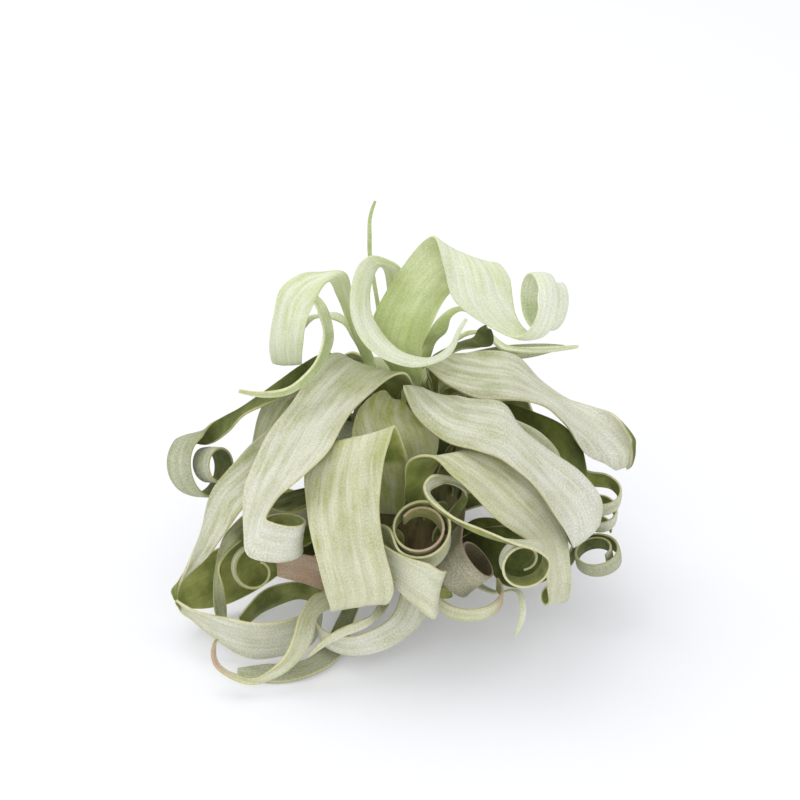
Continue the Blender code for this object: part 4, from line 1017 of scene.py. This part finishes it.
def deselect() -> None:
    """Leave nothing selected."""
    if bpy.context.mode != "OBJECT":
        bpy.ops.object.mode_set(mode="OBJECT")
    bpy.ops.object.select_all(action="DESELECT")


def luck_of(name: str) -> float:
    """A steady number between 0 and 1 for a name."""
    return zlib.crc32(name.encode()) % 1000 / 999


def coordinates(mesh: bpy.types.Mesh) -> np.ndarray:
    """Every vertex of a mesh, one to a row."""
    flat = np.zeros(len(mesh.vertices) * 3)
    mesh.vertices.foreach_get("co", flat)
    return flat.reshape(-1, 3)


def lay_grid(name: str, columns: int, rows: int) -> tuple[bpy.types.Object, np.ndarray, np.ndarray]:
    """Add a flat grid to be shaped.

    Args:
        name: Name of the new piece.
        columns: Cells across.
        rows: Cells along.

    Returns:
        The piece, and each vertex's share of the way across and along.
    """
    deselect()
    bpy.ops.mesh.primitive_grid_add(x_subdivisions=columns, y_subdivisions=rows, size=2)
    piece = bpy.context.object
    piece.name = name
    shares = (coordinates(piece.data) + 1) / 2
    return piece, shares[:, 0], shares[:, 1]


def paint_points(mesh: bpy.types.Mesh, name: str, values: np.ndarray) -> None:
    """Store four values for every vertex, for a material to read."""
    layer = mesh.attributes.new(name, "FLOAT_COLOR", "POINT")
    layer.data.foreach_set("color", values.ravel())


def chart_points(mesh: bpy.types.Mesh, places: np.ndarray) -> None:
    """Give every vertex its place on the UV map."""
    corner = np.zeros(len(mesh.loops), dtype=np.int32)
    mesh.loops.foreach_get("vertex_index", corner)
    mesh.uv_layers[0].name = "UVMap"
    mesh.uv_layers[0].data.foreach_set("uv", places[corner].ravel())


def apply_modifier(piece: bpy.types.Object, kind: str, **settings: object) -> None:
    """Add a modifier with its settings and apply it."""
    modifier = piece.modifiers.new(kind.lower(), kind)
    for name, value in settings.items():
        setattr(modifier, name, value)
    bpy.ops.object.modifier_apply(modifier=modifier.name)


@dataclass
class BladeMaker:
    """Makes one fine blade from a leaf's stations."""
    materials: dict[Tone, bpy.types.Material]
    step: float = 1.1           # pace of the rows
    columns: int = 10           # cells across
    thickness: float = 0.85
    wave: float = 0.5           # height of the slow wave along the edges
    wave_length: float = 26.0
    second_beat: float = 1.23   # pace and phase of the left edge's wave against the right edge's
    second_phase: float = 1.7
    full_width: float = 18.0    # a blade at least as wide waves in full
    calm_base: float = 14.0     # length over which the wave grows
    calm_tip: float = 10.0      # and over which it dies
    groove: float = 0.16
    groove_width: float = 0.14  # share of the half width
    face_change: float = 5.0    # length over which one face's look passes into the other's
    face_gain: float = 1.2      # how fast a face's look settles as it turns to its side
    chart_spread: float = 40.0  # how far apart the blades lie on the skin's pattern
    bevel: float = 0.22
    sharp: float = 50.0         # degrees past which an edge is softened

    def surface(self, leaf: Leaf) -> tuple[np.ndarray, np.ndarray, np.ndarray, np.ndarray]:
        """Points of the middle surface.

        Args:
            leaf: The blade's stations.

        Returns:
            Points (rows, columns, 3), positions across and along in mm, and the outer direction.
        """
        rows, normal, run = Course(leaf).even(self.step)
        left, right, depth = rows[:, None, :3], rows[:, None, 3:6], rows[:, 6][:, None]
        span = np.linspace(-1, 1, (leaf.roll.columns if leaf.roll else self.columns) + 1)[None, :]
        width = width_of(rows)[:, None]
        phase = luck_of(leaf.name) * 2 * math.pi
        beat = run[:, None] / self.wave_length * 2 * math.pi
        swell = (np.sin(beat + phase) * (span > 0)
                 + np.sin(beat * self.second_beat + phase * self.second_phase) * (span < 0))
        fade = np.clip(run / self.calm_base, 0, 1) * np.clip((run[-1] - run) / self.calm_tip, 0, 1)
        size = np.clip(width / self.full_width, 0, 1) * fade[:, None]
        lift = depth * (1 - span**2) + self.wave * swell * span**2 * size
        lift = lift - self.groove * np.exp(-(span / self.groove_width)**2) * size
        points = left + (right - left) * ((span + 1) / 2)[..., None] + normal[:, None, :] * lift[..., None]
        turned = np.clip((run - run[-1] * leaf.flip) / self.face_change, -1, 1)
        outward = normal * (outside_sign(rows, normal) * turned)[:, None]
        if leaf.roll:
            points = leaf.roll.bend(points, rows, run, outward)
        return points, span * width / 2, run, outward

    def make(self, leaf: Leaf) -> bpy.types.Object:
        """Model the blade, finish it and put it in the node's place.

        Args:
            leaf: The blade's stations.

        Returns:
            The finished piece.
        """
        points, across, run, outward = self.surface(leaf)
        last_row, last_column = points.shape[0] - 1, points.shape[1] - 1
        piece, u, v = lay_grid(f"{leaf.name}.blade", last_column, last_row)
        column, row = np.round(u * last_column).astype(int), np.round(v * last_row).astype(int)
        piece.data.vertices.foreach_set("co", (points[row, column] * MM).ravel())
        shift = self.chart_spread * luck_of(leaf.name)
        chart_points(piece.data, np.stack([across[row, column] + shift, run[row]], axis=1) * UV_SCALE)
        piece.data.update()
        apply_modifier(piece, "SOLIDIFY", thickness=self.thickness * MM, offset=0.0)
        self.mark(piece, row, column, run, outward, leaf)
        apply_modifier(piece, "BEVEL", width=self.bevel * MM, segments=2, limit_method="ANGLE",
                       angle_limit=math.radians(self.sharp))
        piece.data.materials.append(self.materials[leaf.look])
        bpy.ops.object.shade_smooth()
        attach(piece, "root")
        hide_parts(leaf.name)
        LOG.info("%s: %d faces", piece.name, len(piece.data.polygons))
        return piece

    def mark(self, piece: bpy.types.Object, row: np.ndarray, column: np.ndarray, run: np.ndarray,
             outward: np.ndarray, leaf: Leaf) -> None:
        """Write which face, how far along and how near an edge every vertex is.

        Args:
            piece: A blade that has just been given its thickness.
            row: Row of every vertex of the middle surface.
            column: Column of every vertex of the middle surface.
            run: Distance along the blade at every row.
            outward: Direction of the outer face at every row.
            leaf: The blade's ripeness and frost.
        """
        count = len(row)
        skins = coordinates(piece.data)
        gap = unit_rows(skins[count:2 * count] - skins[:count])
        centre = column == column.max() // 2
        facing = np.zeros(row.max() + 1)
        facing[row[centre]] = (gap * outward[row]).sum(axis=1)[centre]
        twin = np.clip(facing[row] * self.face_gain, -1, 1) / 2
        data = np.zeros((2 * count, 4))
        data[:, 0] = np.concatenate([0.5 - twin, 0.5 + twin])
        data[:, 1] = np.tile(run[row] / run[-1], 2) * leaf.ripe
        data[:, 2] = np.tile(np.abs(column / column.max() * 2 - 1), 2)
        data[:, 3] = leaf.frost
        paint_points(piece.data, "blade", data)


@dataclass
class Sheaths:
    """The swollen stem, wrapped in the overlapping bases that the leaves grow from."""
    material: bpy.types.Material
    leaves: list
    around: int = 180
    upward: int = 110
    reach: float = 21.0         # how far down the stem a base runs below its leaf
    overlap: float = 2.0        # how far a base runs up behind its leaf
    tail: float = 1.6           # reaches below its leaf at which a base has run out
    tail_fade: float = 0.5      # reaches over which it runs out
    spread: float = 26.0        # half angle of a base at its foot
    widening: float = 0.6       # power by which a base widens on its way down
    rim_start: float = 0.8      # share of its half angle where its rim begins
    bulge: float = 0.4          # how far a base swells in the middle
    swell_rate: float = 3.0     # how soon it has swelled, in parts of its reach
    rim_level: float = -0.4     # its rim, against the stem's plain skin
    tail_level: float = -0.3
    bare_level: float = -0.6    # where no base covers the stem
    calm_foot: float = 6.0      # height over which the relief dies away at the foot
    calm_top: float = 4.0       # and at the top, and as the stem closes in on its axis
    weld: float = 0.01          # points closer than this become one

    def relief(self, azimuth: np.ndarray, height: np.ndarray) -> tuple[np.ndarray, np.ndarray]:
        """Height of the outermost base over the stem, and how near a rim each point lies.

        Args:
            azimuth: Direction of every point, in degrees.
            height: Height of every point, in millimetres.

        Returns:
            Relief in millimetres and closeness to a rim, 0 to 1.
        """
        proud, rim = np.full(azimuth.shape, self.bare_level), np.zeros(azimuth.shape)
        for leaf in sorted(self.leaves, key=lambda item: -item.seat[1]):
            centre, top, half = leaf.seat
            below = (top + self.overlap - height) / self.reach
            inside = (below > 0) & (below < self.tail)
            arc = half + (self.spread - half) * np.clip(below, 0, 1) ** self.widening
            off = np.abs((azimuth - centre + 180) % 360 - 180) / arc
            cover = inside & (off < 1)
            swell = self.bulge * np.sqrt(np.clip(1 - off**2, 0, 1)) * np.clip(below * self.swell_rate, 0, 1)
            fade = np.clip((self.tail - below) / self.tail_fade, 0, 1)
            level = (self.rim_level + swell) * fade + self.tail_level * (1 - fade)
            proud = np.where(cover, level, proud)
            rim = np.where(cover, np.clip((off - self.rim_start) / (1 - self.rim_start), 0, 1), rim)
        return proud, rim

    def make(self) -> bpy.types.Object:
        """Model the sheathed stem and put it in the stem's place.

        Returns:
            The finished piece.
        """
        piece, u, v = lay_grid("stem.sheaths", self.around, self.upward)
        mesh = piece.data
        azimuth = u * 360
        track = np.array([(0.0, 0.0)] + [(r, z) for z, r in STEM_PROFILE])
        travel = run_along(track)
        radius = np.interp(v * travel[-1], travel, track[:, 0])
        height = np.interp(v * travel[-1], travel, track[:, 1])
        proud, rim = self.relief(azimuth, height)
        calm = np.clip(height / self.calm_foot, 0, 1) * np.clip((STEM_TOP - height) / self.calm_top, 0, 1)
        radius = np.maximum(radius + proud * calm * np.clip(radius / self.calm_top, 0, 1), 0)
        angle = np.radians(azimuth)
        points = np.stack([radius * np.cos(angle), radius * np.sin(angle), height], axis=1)
        mesh.vertices.foreach_set("co", (points * MM).ravel())
        paint_points(mesh, "husk", np.stack([height / STEM_TOP, rim, 0 * rim, 0 * rim + 1], axis=1))
        bpy.ops.object.mode_set(mode="EDIT")
        bpy.ops.mesh.select_all(action="SELECT")
        bpy.ops.mesh.remove_doubles(threshold=self.weld * MM)
        bpy.ops.mesh.normals_make_consistent(inside=False)
        bpy.ops.object.mode_set(mode="OBJECT")
        mesh.materials.append(self.material)
        bpy.ops.object.shade_smooth()
        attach(piece, "root")
        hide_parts("stem")
        LOG.info("%s: %d faces", piece.name, len(mesh.polygons))
        return piece


@dataclass
class Rosette:
    """The whole plant: its stem and every blade, in front and behind."""
    maker: BladeMaker
    leaves: list = field(default_factory=lambda: LEAVES + [back_leaf(leaf) for leaf in BACK_LEAVES])

    def build(self, husk: bpy.types.Material) -> None:
        """Make every piece of the plant."""
        Sheaths(husk, self.leaves).make()
        for leaf in self.leaves:
            self.maker.make(leaf)


def face(body: bpy.types.Object, place: tuple, target: tuple) -> None:
    """Put a lamp or a camera in its place, turned to a target."""
    bpy.context.scene.collection.objects.link(body)
    body.location = place
    body.rotation_euler = (Vector(target) - Vector(place)).to_track_quat("-Z", "Y").to_euler()


@dataclass(frozen=True)
class Softbox:
    """A square lamp that faces the plant, in metres and watts."""
    name: str
    place: tuple
    size: float
    power: float
    target: tuple = (0.0, 0.0, 0.05)

    def hang(self) -> None:
        """Add the lamp to the scene."""
        light = bpy.data.lights.new(self.name, "AREA")
        light.size = self.size
        light.energy = self.power
        face(bpy.data.objects.new(self.name, light), self.place, self.target)


@dataclass
class Studio:
    """The pale sweep, the soft light and the camera, in metres."""
    aim: tuple = (0.0, 0.0, 0.067)
    stand: tuple = (0.0, -0.5669, 0.3684)
    lens: float = 85.0          # millimetres, on a sensor of the width below
    sensor: float = 36.0
    near: float = 0.01
    floor_size: float = 8.0
    sky: float = 0.8
    air_tint: tuple = (0.97, 0.98, 1.0, 1.0)
    lamps: tuple = (Softbox("key_softbox", (-0.55, 0.45, 1.3), 1.1, 7.5),
                    Softbox("front_fill", (-0.15, -1.3, 0.75), 1.3, 4.5))

    def build(self, paint: bpy.types.Material) -> None:
        """Set the floor, the lights and the camera.

        Args:
            paint: The floor's material.
        """
        deselect()
        bpy.ops.mesh.primitive_plane_add(size=self.floor_size, location=(0, 0, 0))
        floor = bpy.context.object
        floor.name = "floor"
        floor.data.materials.append(paint)
        for lamp in self.lamps:
            lamp.hang()
        scene = bpy.context.scene
        scene.world = bpy.data.worlds.new("studio_air")
        scene.world.use_nodes = True
        air = scene.world.node_tree.nodes["Background"]
        air.inputs["Color"].default_value = self.air_tint
        air.inputs["Strength"].default_value = self.sky
        camera = bpy.data.cameras.new("camera")
        camera.lens = self.lens
        camera.sensor_width = self.sensor
        camera.clip_start = self.near
        scene.camera = bpy.data.objects.new("camera", camera)
        face(scene.camera, self.stand, self.aim)
        scene.view_settings.view_transform = "Standard"


def main() -> None:
    """Dress the frame and light it."""
    logging.basicConfig(level=logging.INFO, format="%(message)s")
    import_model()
    deselect()
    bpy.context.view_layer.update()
    skins = {tone: finish.build(tone.value) for tone, finish in FINISHES.items()}
    Rosette(BladeMaker(skins)).build(StemFinish().build())
    Studio().build(FloorFinish().build())


if __name__ == "__main__":
    main()
